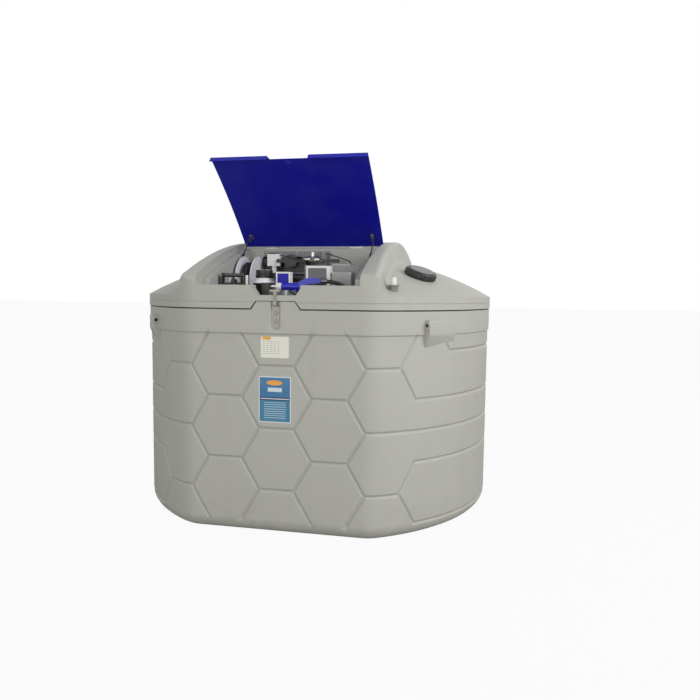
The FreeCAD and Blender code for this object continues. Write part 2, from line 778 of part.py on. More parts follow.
def make_lid():
    half = size.lidWidth / 2
    length = size.lidLength
    thick = size.lidThick
    drop = size.lidDrop
    skin = lid_skin("lidSkin", 0, thick, half, length)
    lip = block("lidLipBar", (size.lidWidth, thick, size.lidLip + thick),
                (0, -length + thick / 2, -drop - size.lidLip))
    notch = section("lidNotchFace", "z", [
        (-size.lidNotchHalf - 18, -length - 20), (size.lidNotchHalf + 18, -length - 20),
        (size.lidNotchHalf, -length + size.lidNotchDeep), (-size.lidNotchHalf, -length + size.lidNotchDeep)])
    notch_tool = extrude("lidNotch", notch, (0, 0, 1), 120)
    return on_lid(cut("lid", fuse("lidForm", skin, lip), notch_tool))


def make_hinges():
    # two butt hinges: one leaf on the ledge behind, one under the lid, and a pin through both
    wide = size.leafWidth
    pin = size.hingePin
    knuckle = pin + 3.5
    nodes = []
    lower = []
    upper = []
    pins = []
    for index, hand in enumerate((-1, 1)):
        middle = size.hingeX * hand
        axis_z = size.hingeZ
        leaf = block(f"lowerLeaf{index}", (wide, 14, size.leafThick),
                     (middle, size.hingeY + 8, axis_z - size.lidDrop - size.ledgeGap))
        post = block(f"lowerPost{index}", (wide / 3, knuckle, 10), (middle, size.hingeY + knuckle / 2 + 1, axis_z - 10))
        barrel = rod(f"lowerBarrel{index}", knuckle, wide / 3, (middle - wide / 6, size.hingeY, axis_z), "x")
        hole = rod(f"lowerHole{index}", pin + size.pinPlay, wide, (middle - wide / 2, size.hingeY, axis_z), "x")
        lower.append(cut(f"lowerHinge{index}", fuse(f"lowerSum{index}", leaf, post, barrel), hole))
        over = size.lidThick - size.lidDrop + size.seatGap
        parts = [block(f"upperLeaf{index}", (wide, 30, size.leafThick), (middle, -30, over + 3.2))]
        for side in (-1, 1):
            end = middle + wide / 3 * side
            parts.append(rod(f"upperBarrel{index}{side + 1}", knuckle, wide / 3 - 1, (end - wide / 6 + 0.5, 0, 0), "x"))
            parts.append(block(f"upperNeck{index}{side + 1}", (wide / 3 - 1, 14, size.leafThick + 2), (end, -9, over + 1)))
        bore = rod(f"upperHole{index}", pin + size.pinPlay, wide + 10, (middle - wide / 2 - 5, 0, 0), "x")
        upper.append(cut(f"upperHinge{index}", fuse(f"upperSum{index}", *parts), bore))
        pins.append(rod(f"hingePinRod{index}", pin, wide + 2, (middle - wide / 2 - 1, size.hingeY, axis_z), "x"))
    nodes.append(group("hinge_lower_leaves", lower))
    nodes.append(on_lid(group("hinge_upper_leaves", upper)))
    nodes.append(group("hinge_pins", pins))
    return nodes


def group(name, items):
    item = doc.addObject("Part::Compound", name)
    item.Links = list(items)
    return item


def lid_point(along, up, angle):
    # world place of a point of the lid's side view, at an opening angle in degrees
    swing = math.radians(angle)
    y = along * math.cos(swing) - up * math.sin(swing) + float(size.hingeY)
    z = along * math.sin(swing) + up * math.cos(swing) + float(size.hingeZ)
    return y, z


def make_struts():
    # gas struts: cylinders pivot on the cheeks, rods reach the lid
    low_y = size.hingeY - size.strutBack
    low_z = size.hingeZ - size.strutDrop
    top_y, top_z = lid_point(-float(size.strutAt), -float(size.strutUnder), -float(size.lidOpen))
    across = top_y - float(low_y)
    rise = top_z - float(low_z)
    length = math.hypot(across, rise)
    tilt = FreeCAD.Rotation(vector(1, 0, 0), -math.degrees(math.atan2(across, rise)))
    print("strut length open", round(length, 2), "angle", round(math.degrees(math.atan2(rise, across)), 2))
    end_y, end_z = lid_point(-float(size.strutAt), -float(size.strutUnder), float(size.lidClosed))
    print("strut length shut", round(math.hypot(end_y - float(low_y), end_z - float(low_z)), 2), "angle",
          round(math.degrees(math.atan2(end_z - float(low_z), end_y - float(low_y))), 2))
    nodes = []
    low_studs = []
    high_studs = []
    for name, hand in (("left", -1), ("right", 1)):
        x = size.strutX * hand
        tube = rod(f"tube_{name}", size.strutRadius, size.cylinderLength - 12, (0, 0, 12))
        eye = rod(f"tubeEye_{name}", 8, 10, (-5, 0, 0), "x")
        neck = block(f"tubeNeck_{name}", (8, 10, 10), (0, 0, 4))
        bore = rod(f"tubeBore_{name}", size.strutRodRadius + size.pinPlay * 4, size.cylinderLength, (0, 0, 30))
        pivot = rod(f"tubePivot_{name}", 4 + size.pinPlay, 20, (-10, 0, 0), "x")
        cylinder = cut(f"strut_cylinder_{name}", fuse(f"tubeSum_{name}", tube, neck, eye), bore, pivot)
        nodes.append(place(cylinder, (x, low_y, low_z), tilt))
        shaft = rod(f"rodShaft_{name}", size.strutRodRadius, size.strutRodLength - 6, (0, 0, -size.strutRodLength))
        tip = rod(f"rodTip_{name}", 8, 10, (-5, 0, 0), "x")
        piston = fuse(f"strut_rod_{name}", shaft, tip)
        piston.Placement = FreeCAD.Placement(vector(x, top_y, top_z), tilt)
        nodes.append(piston)
        reach = size.wellHalf - size.strutX
        start = hand * (size.strutX - 5.5) if hand > 0 else -size.wellHalf + 1
        stud = rod(f"lowStud_{name}", 4, reach + 4.5, (start, low_y, low_z), "x")
        flange_x = (size.wellHalf - 2.5) if hand > 0 else -size.wellHalf
        flange = rod(f"lowFlange_{name}", 16, 2.5, (flange_x, low_y, low_z), "x")
        low_studs.append(fuse(f"lowBracket_{name}", stud, flange))
        plate_x = hand * (size.strutX - 12)
        plate = block(f"topPlate_{name}", (4, 30, size.strutUnder + 7), (plate_x, -size.strutAt, -size.strutUnder - 10))
        foot = block(f"topFoot_{name}", (24, 40, 3), (plate_x, -size.strutAt, -5.4))
        high_studs.append(fuse(f"topBracket_{name}", plate, foot))
    nodes.append(group("strut_lower_studs", low_studs))
    nodes.append(on_lid(group("strut_lid_brackets", high_studs)))
    return nodes


def make_hasp():
    face = -(size.frontDepth + size.bandProud)
    back = face + size.recessDepth
    x = size.haspX
    pin_y = face - 5
    pin_z = size.recessTop - 5
    plate = block("haspPlateBar", (44, 3, size.recessTop - size.recessBottom - 22),
                  (x, back - 1.5, size.recessBottom + 12))
    ears = [block(f"haspEar{side}", (5, pin_y * -1 + back, 10), (x + side * 12, (pin_y + back) / 2, pin_z - 5))
            for side in (-1, 1)]
    rolls = [rod(f"haspRoll{side}", 5, 5, (x + side * 12 - 2.5, pin_y, pin_z), "x") for side in (-1, 1)]
    bores = [rod("haspBore", 2.5 + size.pinPlay, 60, (x - 30, pin_y, pin_z), "x")]
    for index, level in enumerate((0.34, 0.66)):
        height = size.recessBottom + (size.recessTop - size.recessBottom) * level
        bores.append(rod(f"haspHole{index}", 4, 30, (x, back - 15, height), "y"))
    hasp_plate = cut("hasp_plate", fuse("haspPlateSum", plate, *ears, *rolls), *bores)
    screws = []
    for index, level in enumerate((0.34, 0.66)):
        height = size.recessBottom + (size.recessTop - size.recessBottom) * level
        head = rod(f"haspHead{index}", 8, 3.5, (x, back - 3, height), "-y")
        screws.append(head)
    strap_y = pin_y - 2.5
    rise = 84
    bar = block("strapBar", (18, 3, rise - 4), (x, strap_y, pin_z + 2))
    head = block("strapHead", (62, 3, 12), (x, strap_y, pin_z + rise - 6))
    barrel = rod("strapBarrel", 5, 18.6, (x - 9.3, pin_y, pin_z), "x")
    slot = block("strapSlot", (7, 20, 34), (x, strap_y, pin_z + 26))
    bore = rod("strapBore", 2.5 + size.pinPlay, 60, (x - 30, pin_y, pin_z), "x")
    strap = cut("hasp_strap", fuse("strapSum", bar, head, barrel), slot, bore)
    pin = rod("hasp_pin", 2.5, 32, (x - 16, pin_y, pin_z), "x")
    foot = block("stapleFoot", (44, 30, 3), (x, -size.lidLength + 48, -size.lidDrop - 0.86))
    loop = ring("stapleLoop", 8, 2.5, (x, -size.lidLength + 48, -size.lidDrop - 8), "x")
    staple = on_lid(fuse("lid_staple", foot, loop))
    return [hasp_plate, group("hasp_screws", screws), strap, pin, staple]


def make_roof_fittings():
    neck_wall = 8
    neck = on_roof(cut("filler_neck", rod("neckTube", size.neckRadius, size.capHeight - 8.3 + 60, (0, 0, -60)),
                       rod("neckBore", size.neckRadius - neck_wall, 140, (0, 0, -80))))
    cap = body("filler_cap")
    side = sketch(cap, "XZ_Plane", "capSide")
    radius = size.capRadius
    inner = size.neckRadius + 2
    top = size.capHeight
    outline(side, [(inner, 3), (radius, 3), (radius, top - 12), (radius - 8, top - 4), (0, top), (0, top - 8),
                   (inner, top - 8)])
    lathe(cap, side)
    rib = sketch(cap, "XY_Plane", "capRib", 3)
    circle(rib, (radius + 2, 0), 5)
    groove = pocket(cap, rib, top - 17, back=True)
    polar(cap, groove, 24)
    on_roof(cap)
    foot_z = roof_height(math.hypot(float(size.ventX), float(size.ventY)))[0]
    stem = rod("ventStem", size.ventRadius - 8, 60, (size.ventX, size.ventY, foot_z - 42))
    disc = rod("ventDisc", size.ventRadius, 10, (size.ventX, size.ventY, foot_z + 18))
    vent = fuse("vent_socket", stem, disc)
    pipe_form = rod("ventTube", size.ventPipeRadius, size.ventPipe, (size.ventX, size.ventY, foot_z + 28))
    pipe_bore = rod("ventTubeBore", size.ventPipeRadius - 3, size.ventPipe - 4,
                    (size.ventX, size.ventY, foot_z + 28))
    return [neck, cap, vent, cut("vent_pipe", pipe_form, pipe_bore)]


def make_reel():
    x = size.reelX
    y = size.reelY
    z = size.reelZ
    half = size.reelWidth / 2
    owner = body("reel_drum")
    side = sketch(owner, "XZ_Plane", "reelSide")
    rim = size.reelRadius
    hub = size.hubRadius
    bore = size.shaftRadius + size.pinPlay
    dish = size.reelDish
    outline(side, [(bore, -half - 4), (hub, -half - 4), (rim - 8, -half - 4 - dish), (rim, -half - 4 - dish),
                   (rim, -half - dish), (rim - 8, -half - dish), (hub, -half), (hub, half),
                   (rim - 8, half + dish), (rim, half + dish), (rim, half + 4 + dish),
                   (rim - 8, half + 4 + dish), (hub, half + 4), (bore, half + 4)])
    lathe(owner, side)
    socket = sketch(owner, "XY_Plane", "reelBolt", -half - 40)
    circle(socket, (hub - 18, 0), 4)
    holes = pocket(owner, socket, size.reelWidth + 90, back=True)
    polar(owner, holes, 6)
    place(owner, (x, y, z), turns["x"])
    windings = []
    turn_radius = size.hoseRadius
    count = 3
    for layer in range(3):
        for index in range(count - layer // 2):
            across = (index - (count - 1) / 2) * 2
            at = (x + turn_radius * across * 0.98, y, z)
            windings.append(ring(f"winding{layer}{index}", hub + turn_radius * (1 + 1.9 * layer) + 0.5,
                                 turn_radius, at, "x"))
    coil = fuse("hose_winding", *windings)
    reach = half + dish + 12
    shaft = rod("reelShaft", size.shaftRadius, reach * 2, (x - reach, y, z), "x")
    floor = size.innerTop + size.trayThick
    uprights = []
    for index, hand in enumerate((-1, 1)):
        upright_x = x + hand * (reach - 4)
        upright = block(f"reelUpright{index}", (4, 70, z - floor + 30), (upright_x, y, floor))
        foot = block(f"reelFoot{index}", (4, 200, 26), (upright_x, y, floor))
        uprights.append(fuse(f"reelPlate{index}", upright, foot))
    base = block("reelBase", (reach * 2 - 4, 200, 4), (x, y, floor))
    stand = fuse("reel_stand", base, shaft, *uprights)
    return [owner, coil, stand]


def make_guide():
    # four rollers in a frame that leads the hose
    x = -346
    y = -812
    low = size.innerTop + size.trayThick
    frame = [block("guideFoot", (150, 40, 4), (x, y, low))]
    for side in (-1, 1):
        frame.append(block(f"guidePost{side}", (6, 40, 1546 - low), (x + side * 70, y + 3, low)))
    bores = []
    rollers = []
    for name, level in (("low", 1478), ("high", 1530)):
        bores.append(rod(f"guideBore_{name}", 4 + size.pinPlay, 200, (x - 100, y - 9, level), "x"))
        core = rod(f"roller_{name}", 9, 132, (x - 66, y - 9, level), "x")
        ends = rod(f"rollerPin_{name}", 4, 146, (x - 73, y - 9, level), "x")
        rollers.append(fuse(f"guide_roller_{name}", core, ends))
    bars = []
    for name, level in (("low", 1462), ("high", 1541)):
        bars.append(block(f"guideBar_{name}", (134, 16, 5), (x, y + 15, level)))
    for name, side in (("left", -1), ("right", 1)):
        at = x + side * 27
        bores.append(rod(f"guideBore_{name}", 4 + size.pinPlay, 120, (at, y + 15, 1450)))
        core = rod(f"roller_{name}", 12.5, 72, (at, y + 15, 1468))
        ends = rod(f"rollerPin_{name}", 4, 84, (at, y + 15, 1462.5))
        rollers.append(fuse(f"guide_roller_{name}", core, ends))
    return [cut("hose_guide", fuse("guideSum", *frame, *bars), *bores)] + rollers


def make_pump_group():
    wall_y = -size.wellBack
    y = -330
    sheet = block("pumpSheet", (470, 4, 190), (-110, wall_y - 2.3, 1520))
    shelf = block("pumpShelf", (300, 150, 4), (-150, wall_y - 2 - 75, 1556))
    plate = fuse("pump_plate", sheet, shelf)
    motor = fuse("pump_motor", rod("motorCan", 41, 96, (-318, y, 1630), "x"),
                 block("motorFoot", (76, 50, 50), (-270, y, 1560)),
                 rod("motorNose", 30, 62, (-222, y, 1630), "x"))
    head = block("headBlock", (150, 100, 76), (-84, y, 1560))
    head_side = rod("headRound", 38, 60, (-112, y - 10, 1632), "x")
    head_cut = rod("headPort", 17.3, 80, (-40, y, 1650), "x")
    pump = cut("pump_head", fuse("headSum", head, head_side), rod("headNose", 30.3, 40, (-200, y, 1630), "x"),
               head_cut)
    coupling_y = y - 50
    coupling = fuse("fill_coupling", rod("couplingTube", 31.5, 34, (-103, coupling_y - 34, 1638), "y"),
                    rod("couplingFlange", 40, 8, (-103, coupling_y - 8, 1638), "y"))
    cap_form = fuse("couplingCapSum", rod("couplingCapDisc", 43, 30, (-103, coupling_y - 42, 1638), "y"),
                    block("couplingEarBar", (176, 8, 22), (-103, coupling_y - 36, 1627)),
                    rod("couplingEarLeft", 13, 8, (-191, coupling_y - 40, 1638), "y"),
                    rod("couplingEarRight", 13, 8, (-15, coupling_y - 40, 1638), "y"))
    cap = cut("coupling_cap", cap_form, rod("couplingCapBore", 32, 26, (-103, coupling_y - 38, 1638), "y"))
    pipe = fuse("pressure_pipe", rod("pipeRun", 17, 112, (-39, y, 1650), "x"),
                rod("pipeCollar1", 24, 14, (-6, y, 1650), "x"), rod("pipeCollar2", 24, 14, (40, y, 1650), "x"),
                rod("pipeRise", 15, 46, (24, y, 1652)))
    valve = fuse("ball_valve", rod("valveBody", 22, 90, (96, y, 1608)), rod("valveHub", 18, 26, (96, y - 26, 1640), "y"),
                 rod("valveStem", 6, 42, (96, y - 42, 1640), "y"))
    lever_form = fuse("leverSum", block("leverBar", (112, 6, 14), (151, y - 40, 1633)),
                      rod("leverHub", 15, 8, (96, y - 40, 1640), "y"),
                      block("leverGrip", (60, 12, 22), (186, y - 40, 1629)))
    lever = cut("valve_lever", lever_form, rod("leverBore", 6 + size.pinPlay, 40, (96, y - 60, 1640), "y"))
    down = fuse("valve_pipe", rod("valvePipeLow", 15, 1608 - 1300, (96, y, 1300)),
                rod("valvePipeNut", 23, 18, (96, y, 1586)))
    sensor_form = fuse("levelSum", block("levelBox", (90, 30, 79), (-226, -390, 1604)),
                       block("levelPost", (30, 8, 48), (-226, -390, 1560.3)))
    sensor = cut("level_display", sensor_form, block("levelFace", (70, 4, 50), (-226, -404, 1620)))
    return [plate, motor, pump, coupling, cap, pipe, valve, lever, down, sensor]


def make_front_group():
    floor = size.innerTop + size.trayThick
    console = fuse("console_plate", block("consoleSheet", (350, 4, 300), (232, -636, floor)),
                   block("consoleFoot", (350, 70, 4), (232, -601, floor)))
    control = cut("control_box", block("controlBody", (153, 58, 150), (160, -667, 1445)),
                  block("controlWindow", (118, 8, 118), (154, -696, 1464)))
    screen = block("control_screen", (117.4, 3.7, 117.4), (154, -693.85, 1464.3))
    junction = rounded("junction_box", block("junctionBody", (128, 60, 120), (306, -668, 1440)), 8,
                       lambda middle, edge: middle.y < -690 or middle.z > 1555)
    supply = block("power_supply", (116, 66, 150), (292, -601, 1460))
    meter_form = fuse("meterSum", block("meterBody", (90, 56, 76), (-46, -732, 1480)),
                      rod("meterPost", 12, 200, (-46, -711, floor)))
    meter_case = cut("meter_case", meter_form, block("meterWindow", (72, 6, 58), (-46, -760, 1488)))
    meter_face = block("meter_face", (71.4, 2.7, 57.4), (-46, -758.35, 1488.3))
    filter_form = fuse("inline_filter", rod("filterCan", 26, 96, (-34, -600, 1520), "x"),
                       rod("filterDrop", 12, 1520 - 1300, (14, -600, floor)))
    vent_base = fuse("breather_base", taper("breatherBowl", 46, 72, 46, (-187, -700, 1440)),
                     rod("breatherStem", 30, 145, (-187, -700, 1300)))
    vent_dome = taper("breather_dome", 72, 50, 32, (-187, -700, 1486.3))
    vent_cap = cut("breather_cap", rod("breatherCap", 52, 48, (-187, -700, 1518.6)),
                   ring("breatherRing", 53, 4, (-187, -700, 1542)))
    return [console, control, screen, junction, supply, meter_case, meter_face, filter_form,
            vent_base, vent_dome, vent_cap]


def make_nozzle():
    y = -880
    holder_form = fuse("holderSum", block("holderPost", (44, 10, 1488 - 1300), (-106, y - 27, 1300)),
                       block("holderSocket", (50, 54, 44), (-106, y, 1444)))
    holder = cut("nozzle_holder", holder_form, rod("holderBore", 11.3, 120, (-180, y, 1466), "x"))
    spout = rod("nozzle_spout", 10.5, 90, (-136, y, 1466), "x")
    collar = rod("nozzle_collar", 20, 34, (-46, y, 1466), "x")
    barrel = rod("nozzleBarrel", 22, 110, (-12, y, 1466), "x")
    face = section("nozzleGripFace", "y", [
        (92, 1449), ((150, 1478), (228, 1486)), (228, 1511), ((150, 1516), (92, 1492))])
    grip = extrude("nozzleGrip", face, (0, 1, 0), 36)
    grip.Placement = FreeCAD.Placement(vector(0, y, 0), FreeCAD.Rotation())
    ears = [block(f"triggerEar{side}", (18, 4, 30), (70, y + side * 11, 1431)) for side in (-1, 1)]
    nozzle = cut("nozzle_body", fuse("nozzleSum", barrel, grip, *ears),
                 rod("triggerHole", 3 + size.pinPlay, 80, (70, y - 40, 1438), "y"))
    guard_face = section("guardFace", "y", [
        (30, 1440), ((100, 1404), (208, 1480)), (200, 1482), ((100, 1412), (38, 1443.7))])
    guard = extrude("nozzle_guard", guard_face, (0, 1, 0), 24)
    guard.Placement = FreeCAD.Placement(vector(0, y, 0), FreeCAD.Rotation())
    trigger_face = section("triggerFace", "y", [
        (62, 1441.6), (62, 1436), ((120, 1430), (170, 1456)), (168, 1461), ((120, 1437), (78, 1441.6))])
    lever = extrude("triggerLever", trigger_face, (0, 1, 0), 16)
    lever.Placement = FreeCAD.Placement(vector(0, y, 0), FreeCAD.Rotation())
    trigger = fuse("nozzle_trigger", lever, rod("triggerPin", 3, 28, (70, y - 14, 1438), "y"))
    return [holder, spout, collar, nozzle, guard, trigger]


# the free length of the hose, from the nozzle along the tray and through the guide to the reel
hoseRoute = [
    (228.3, -880, 1498.5), (323, -880, 1498.5), (391, -839, 1445), (391, -782, 1369), (323, -743, 1315),
    (225, -737, 1314), (122, -748, 1314), (22, -782, 1314), (-62, -836, 1320), (-136, -884, 1348),
    (-196, -908, 1392), (-247, -915, 1434), (-287, -912, 1463), (-316, -893, 1486), (-336, -861, 1499),
    (-343, -817, 1504), (-346, -745, 1490), (-352.8, -640, 1444), (-348.6, -532, 1391.5),
    (-348.6, -432.9, 1354.6), (-348.6, -345.2, 1384.5), (-348.6, -297.2, 1463.7)]
# share of the shorter run that each bend takes up
bendShare = 0.45


def make_hose():
    points = [vector(*point) for point in hoseRoute]
    curves = []
    radii = []
    start = points[0]
    for index in range(1, len(points) - 1):
        corner = points[index]
        before = (corner - points[index - 1]).normalize()
        after = (points[index + 1] - corner).normalize()
        half_turn = before.getAngle(after) / 2
        shorter = min(corner.distanceToPoint(points[index - 1]), corner.distanceToPoint(points[index + 1]))
        setback = shorter * bendShare
        radius = setback / math.tan(half_turn)
        radii.append(round(radius))
        enter = corner - before * setback
        leave = corner + after * setback
        inward = (after - before).normalize()
        middle = corner + inward * (radius / math.cos(half_turn) - radius)
        curves.append(Part.makeLine(start, enter))
        curves.append(Part.Arc(enter, middle, leave).toShape())
        start = leave
    curves.append(Part.makeLine(start, points[-1]))
    path = Part.Wire(curves)
    first = (points[1] - points[0]).normalize()
    ring_wire = Part.Wire([Part.makeCircle(float(size.hoseRadius), points[0], first)])
    tube = path.makePipeShell([ring_wire], True, True)
    expected = math.pi * float(size.hoseRadius) ** 2 * path.Length
    print("hose bend radii", radii)
    print("hose length", round(path.Length), "volume share", round(tube.Volume / expected, 4))
    return [shaped("delivery_hose", tube)]


outer_tank = make_outer_tank()
nodes = [outer_tank, make_inner_tank(), make_cover(), make_seal(), make_tray(), make_lid()]
nodes += make_hinges()
nodes += make_struts()
nodes += make_hasp()
nodes += make_roof_fittings()
nodes += make_reel()
nodes += make_guide()
nodes += make_pump_group()
nodes += make_front_group()
nodes += make_nozzle()
nodes += make_hose()
doc.recompute()

for item in doc.Objects:
    if "Invalid" in item.State or "Error" in item.State:
        raise RuntimeError(f"{item.Name} could not be worked out")
for item in nodes:
    item.Label = item.Name
    if item.Shape.isNull() or not item.Shape.isValid():
        raise RuntimeError(f"{item.Name} has no valid shape")
for item in nodes:
    item.Shape.exportStep("parts/" + item.Name + ".step")
    print(item.Name, len(item.Shape.Solids), round(item.Shape.Volume / 1000))
print(len(nodes), "nodes")
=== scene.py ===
# A diesel exhaust fluid tank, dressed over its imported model
import json
import math

import bmesh
import bpy
import numpy
from mathutils import Matrix, Vector, geometry


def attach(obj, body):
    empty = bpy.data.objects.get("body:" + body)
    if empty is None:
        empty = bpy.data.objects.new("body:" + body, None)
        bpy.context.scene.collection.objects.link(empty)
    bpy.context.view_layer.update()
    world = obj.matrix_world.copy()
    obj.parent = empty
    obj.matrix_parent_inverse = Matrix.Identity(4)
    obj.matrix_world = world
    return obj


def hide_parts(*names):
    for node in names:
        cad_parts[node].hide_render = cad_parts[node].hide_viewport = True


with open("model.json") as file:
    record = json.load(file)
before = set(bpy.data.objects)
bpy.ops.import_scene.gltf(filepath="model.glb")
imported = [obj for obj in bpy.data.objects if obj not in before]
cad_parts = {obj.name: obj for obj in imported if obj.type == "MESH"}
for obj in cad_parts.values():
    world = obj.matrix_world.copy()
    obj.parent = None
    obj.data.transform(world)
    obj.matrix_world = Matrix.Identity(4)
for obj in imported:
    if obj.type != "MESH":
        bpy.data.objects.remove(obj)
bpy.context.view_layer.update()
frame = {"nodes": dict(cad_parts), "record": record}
cadNodes = frame["nodes"]
print("frame loaded:", len(cadNodes), "nodes")


# Shader maths: a wrapped socket that Python's operators work on
class Value:
    def __init__(self, tree, socket):
        self.tree = tree
        self.socket = socket

    def math(self, operation, *others, flip=False):
        node = self.tree.nodes.new("ShaderNodeMath")
        node.operation = operation
        terms = [self, *others]
        if flip:
            terms.reverse()
        for index, term in enumerate(terms):
            if isinstance(term, Value):
                self.tree.links.new(term.socket, node.inputs[index])
            else:
                node.inputs[index].default_value = term
        return Value(self.tree, node.outputs[0])

    def __add__(self, other):
        return self.math("ADD", other)

    def __sub__(self, other):
        return self.math("SUBTRACT", other)

    def __rsub__(self, other):
        return self.math("SUBTRACT", other, flip=True)

    def __mul__(self, other):
        return self.math("MULTIPLY", other)

    def __truediv__(self, other):
        return self.math("DIVIDE", other)

    def __gt__(self, other):
        return self.math("GREATER_THAN", other)

    def __lt__(self, other):
        return self.math("LESS_THAN", other)

    def band(self, low, high):
        # 0 below low, 1 above high, smooth between
        return self.tree.step(self, low, high)

    __radd__ = __add__
    __rmul__ = __mul__


class Surface:
    # a material with one Principled shader
    def __init__(self, name, colour, roughness=0.5, metallic=0.0, coat=0.0):
        self.material = bpy.data.materials.new(name)
        self.material.use_nodes = True
        self.nodes = self.material.node_tree.nodes
        self.links = self.material.node_tree.links
        self.shader = self.nodes["Principled BSDF"]
        self.shader.inputs["Base Color"].default_value = (*colour, 1)
        self.shader.inputs["Roughness"].default_value = roughness
        self.shader.inputs["Metallic"].default_value = metallic
        self.shader.inputs["Coat Weight"].default_value = coat
        self.material.diffuse_color = (*colour, 1)

    def node(self, kind, settings=None, output=0, **inputs):
        node = self.nodes.new(kind)
        for key, value in (settings or {}).items():
            setattr(node, key, value)
        for key, value in inputs.items():
            socket = node.inputs[int(key[1:])] if key[0] == "_" else node.inputs[key.replace("_", " ")]
            if isinstance(value, Value):
                self.links.new(value.socket, socket)
            else:
                socket.default_value = value
        return Value(self, node.outputs[output])

    def place(self, stretch=(1, 1, 1)):
        where = self.node("ShaderNodeTexCoord", output=3)
        if stretch == (1, 1, 1):
            return where
        return self.node("ShaderNodeMapping", Vector=where, Scale=stretch)

    def noise(self, scale, detail=3.0, rough=0.55, stretch=(1, 1, 1), warp=0.0):
        return self.node("ShaderNodeTexNoise", Vector=self.place(stretch), Scale=scale, Detail=detail,
                         Roughness=rough, Distortion=warp)

    def step(self, value, low, high):
        return self.node("ShaderNodeMapRange", {"interpolation_type": "SMOOTHSTEP"}, Value=value,
                         From_Min=low, From_Max=high)

    def axis(self, index):
        return self.node("ShaderNodeSeparateXYZ", output=index, Vector=self.place())

    def attribute(self, name):
        return self.node("ShaderNodeAttribute", {"attribute_name": name}, output=2)

    def mix(self, factor, first, second):
        ends = [(*end, 1) if isinstance(end, tuple) else end for end in (first, second)]
        return self.node("ShaderNodeMix", {"data_type": "RGBA"}, output=2, _0=factor, _6=ends[0], _7=ends[1])

    def feed(self, **values):
        names = {"colour": "Base Color", "roughness": "Roughness", "normal": "Normal"}
        for key, value in values.items():
            self.links.new(value.socket, self.shader.inputs[names[key]])
        return self

    def bump(self, height, strength, distance):
        normal = self.node("ShaderNodeBump", Height=height, Strength=strength, Distance=distance)
        return self.feed(normal=normal)


def linear(red, green, blue):
    # a colour as a picture shows it, from 0 to 255, as the light that a shader takes
    shades = [value / 255 for value in (red, green, blue)]
    return tuple(s / 12.92 if s <= 0.04045 else ((s + 0.055) / 1.055) ** 2.4 for s in shades)


# dirtAndGrooveShade is dirt in the streaks and splashes, and painted shade in the grooves
plasticLooks = {
    "tank": (180, 180, 172), "tankDark": (160, 159, 150), "tankLight": (188, 188, 181),
    "dirtAndGrooveShade": (134, 130, 118),
    "lid": (9, 13, 162), "blue": (22, 26, 176), "black": (22, 22, 23), "white": (236, 236, 232),
    "grey": (164, 166, 162), "hose": (18, 18, 20),
}


def makeTankPlastic(name="tankPlastic", grooves=False):
    look = plasticLooks
    surface = Surface(name, linear(*look["tank"]), 0.52)
    speck = surface.noise(420, 2.0, 0.6).band(0.42, 0.62)
    cloud = surface.noise(2.2, 4.0, 0.6, warp=0.4).band(0.3, 0.72)
    streak = surface.noise(9, 4.0, 0.6, stretch=(1, 1, 0.09)).band(0.52, 0.75)
    colour = surface.mix(cloud * 0.35, linear(*look["tank"]), linear(*look["tankLight"]))
    colour = surface.mix(speck * 0.14, colour, linear(*look["tankDark"]))
    colour = surface.mix(streak * 0.09, colour, linear(*look["dirtAndGrooveShade"]))
    low = 1 - surface.axis(2).band(0.02, 0.34)
    splash = surface.noise(14, 5.0, 0.65).band(0.4, 0.7)
    colour = surface.mix(low * splash * 0.12, colour, linear(*look["dirtAndGrooveShade"]))
    # painted shade: the groove share darkens the grooves as shade in the creases would
    if grooves:
        colour = surface.mix(surface.attribute("groove") * 0.1, colour, linear(*look["dirtAndGrooveShade"]))
    surface.feed(colour=colour, roughness=0.46 + cloud * 0.14 + speck * 0.06)
    orange = surface.noise(160, 3.0, 0.5)
    return surface.bump(orange + surface.noise(38, 2.0, 0.5) * 1.6, 0.10, 0.002)


def makePlastic(name, colour, roughness=0.45, grain=0.12, wear=0.15, scale=300):
    surface = Surface(name, linear(*colour), roughness)
    lighter = tuple(value + (255 - value) * 0.22 for value in colour)
    mark = surface.noise(26, 5.0, 0.7, warp=0.6).band(0.55, 0.78)
    dust = surface.noise(5, 4.0, 0.6).band(0.35, 0.7)
    shade = surface.mix(mark * wear, linear(*colour), linear(*lighter))
    shade = surface.mix(dust * wear * 0.6, shade, linear(150, 146, 134))
    surface.feed(colour=shade, roughness=roughness - 0.06 + mark * 0.12 + dust * 0.1)
    return surface.bump(surface.noise(scale, 3.0, 0.5), grain, 0.001)


def makeMetal(name, colour, roughness=0.32, brush=(1, 1, 14)):
    surface = Surface(name, linear(*colour), roughness, metallic=1.0)
    lines = surface.noise(70, 4.0, 0.65, stretch=brush)
    stain = surface.noise(12, 5.0, 0.65).band(0.5, 0.75)
    darker = tuple(value * 0.7 for value in colour)
    surface.feed(colour=surface.mix(stain * 0.4, linear(*colour), linear(*darker)),
                 roughness=roughness - 0.08 + lines * 0.16 + stain * 0.12)
    return surface.bump(lines, 0.06, 0.0006)


tankPlastic = makeTankPlastic().material
# wallPlastic carries the painted shade in the grooves
wallPlastic = makeTankPlastic("wallPlastic", True).material
lidBlue = makePlastic("lidBlue", plasticLooks["lid"], 0.5, 0.06, 0.05).material
lidBlue.node_tree.nodes["Principled BSDF"].inputs["Specular IOR Level"].default_value = 0.3
partBlue = makePlastic("partBlue", plasticLooks["blue"], 0.4, 0.08, 0.08).material
blackPlastic = makePlastic("blackPlastic", plasticLooks["black"], 0.48).material
whitePlastic = makePlastic("whitePlastic", plasticLooks["white"], 0.42, 0.06, 0.12).material
greyPlastic = makePlastic("greyPlastic", plasticLooks["grey"], 0.45, 0.08, 0.14).material
hoseRubber = makePlastic("hoseRubber", plasticLooks["hose"], 0.5, 0.2, 0.12, 90).material
sealRubber = makePlastic("sealRubber", (30, 30, 30), 0.6).material
steel = makeMetal("steel", (196, 194, 188)).material
dullSteel = makeMetal("dullSteel", (134, 133, 126), 0.46).material
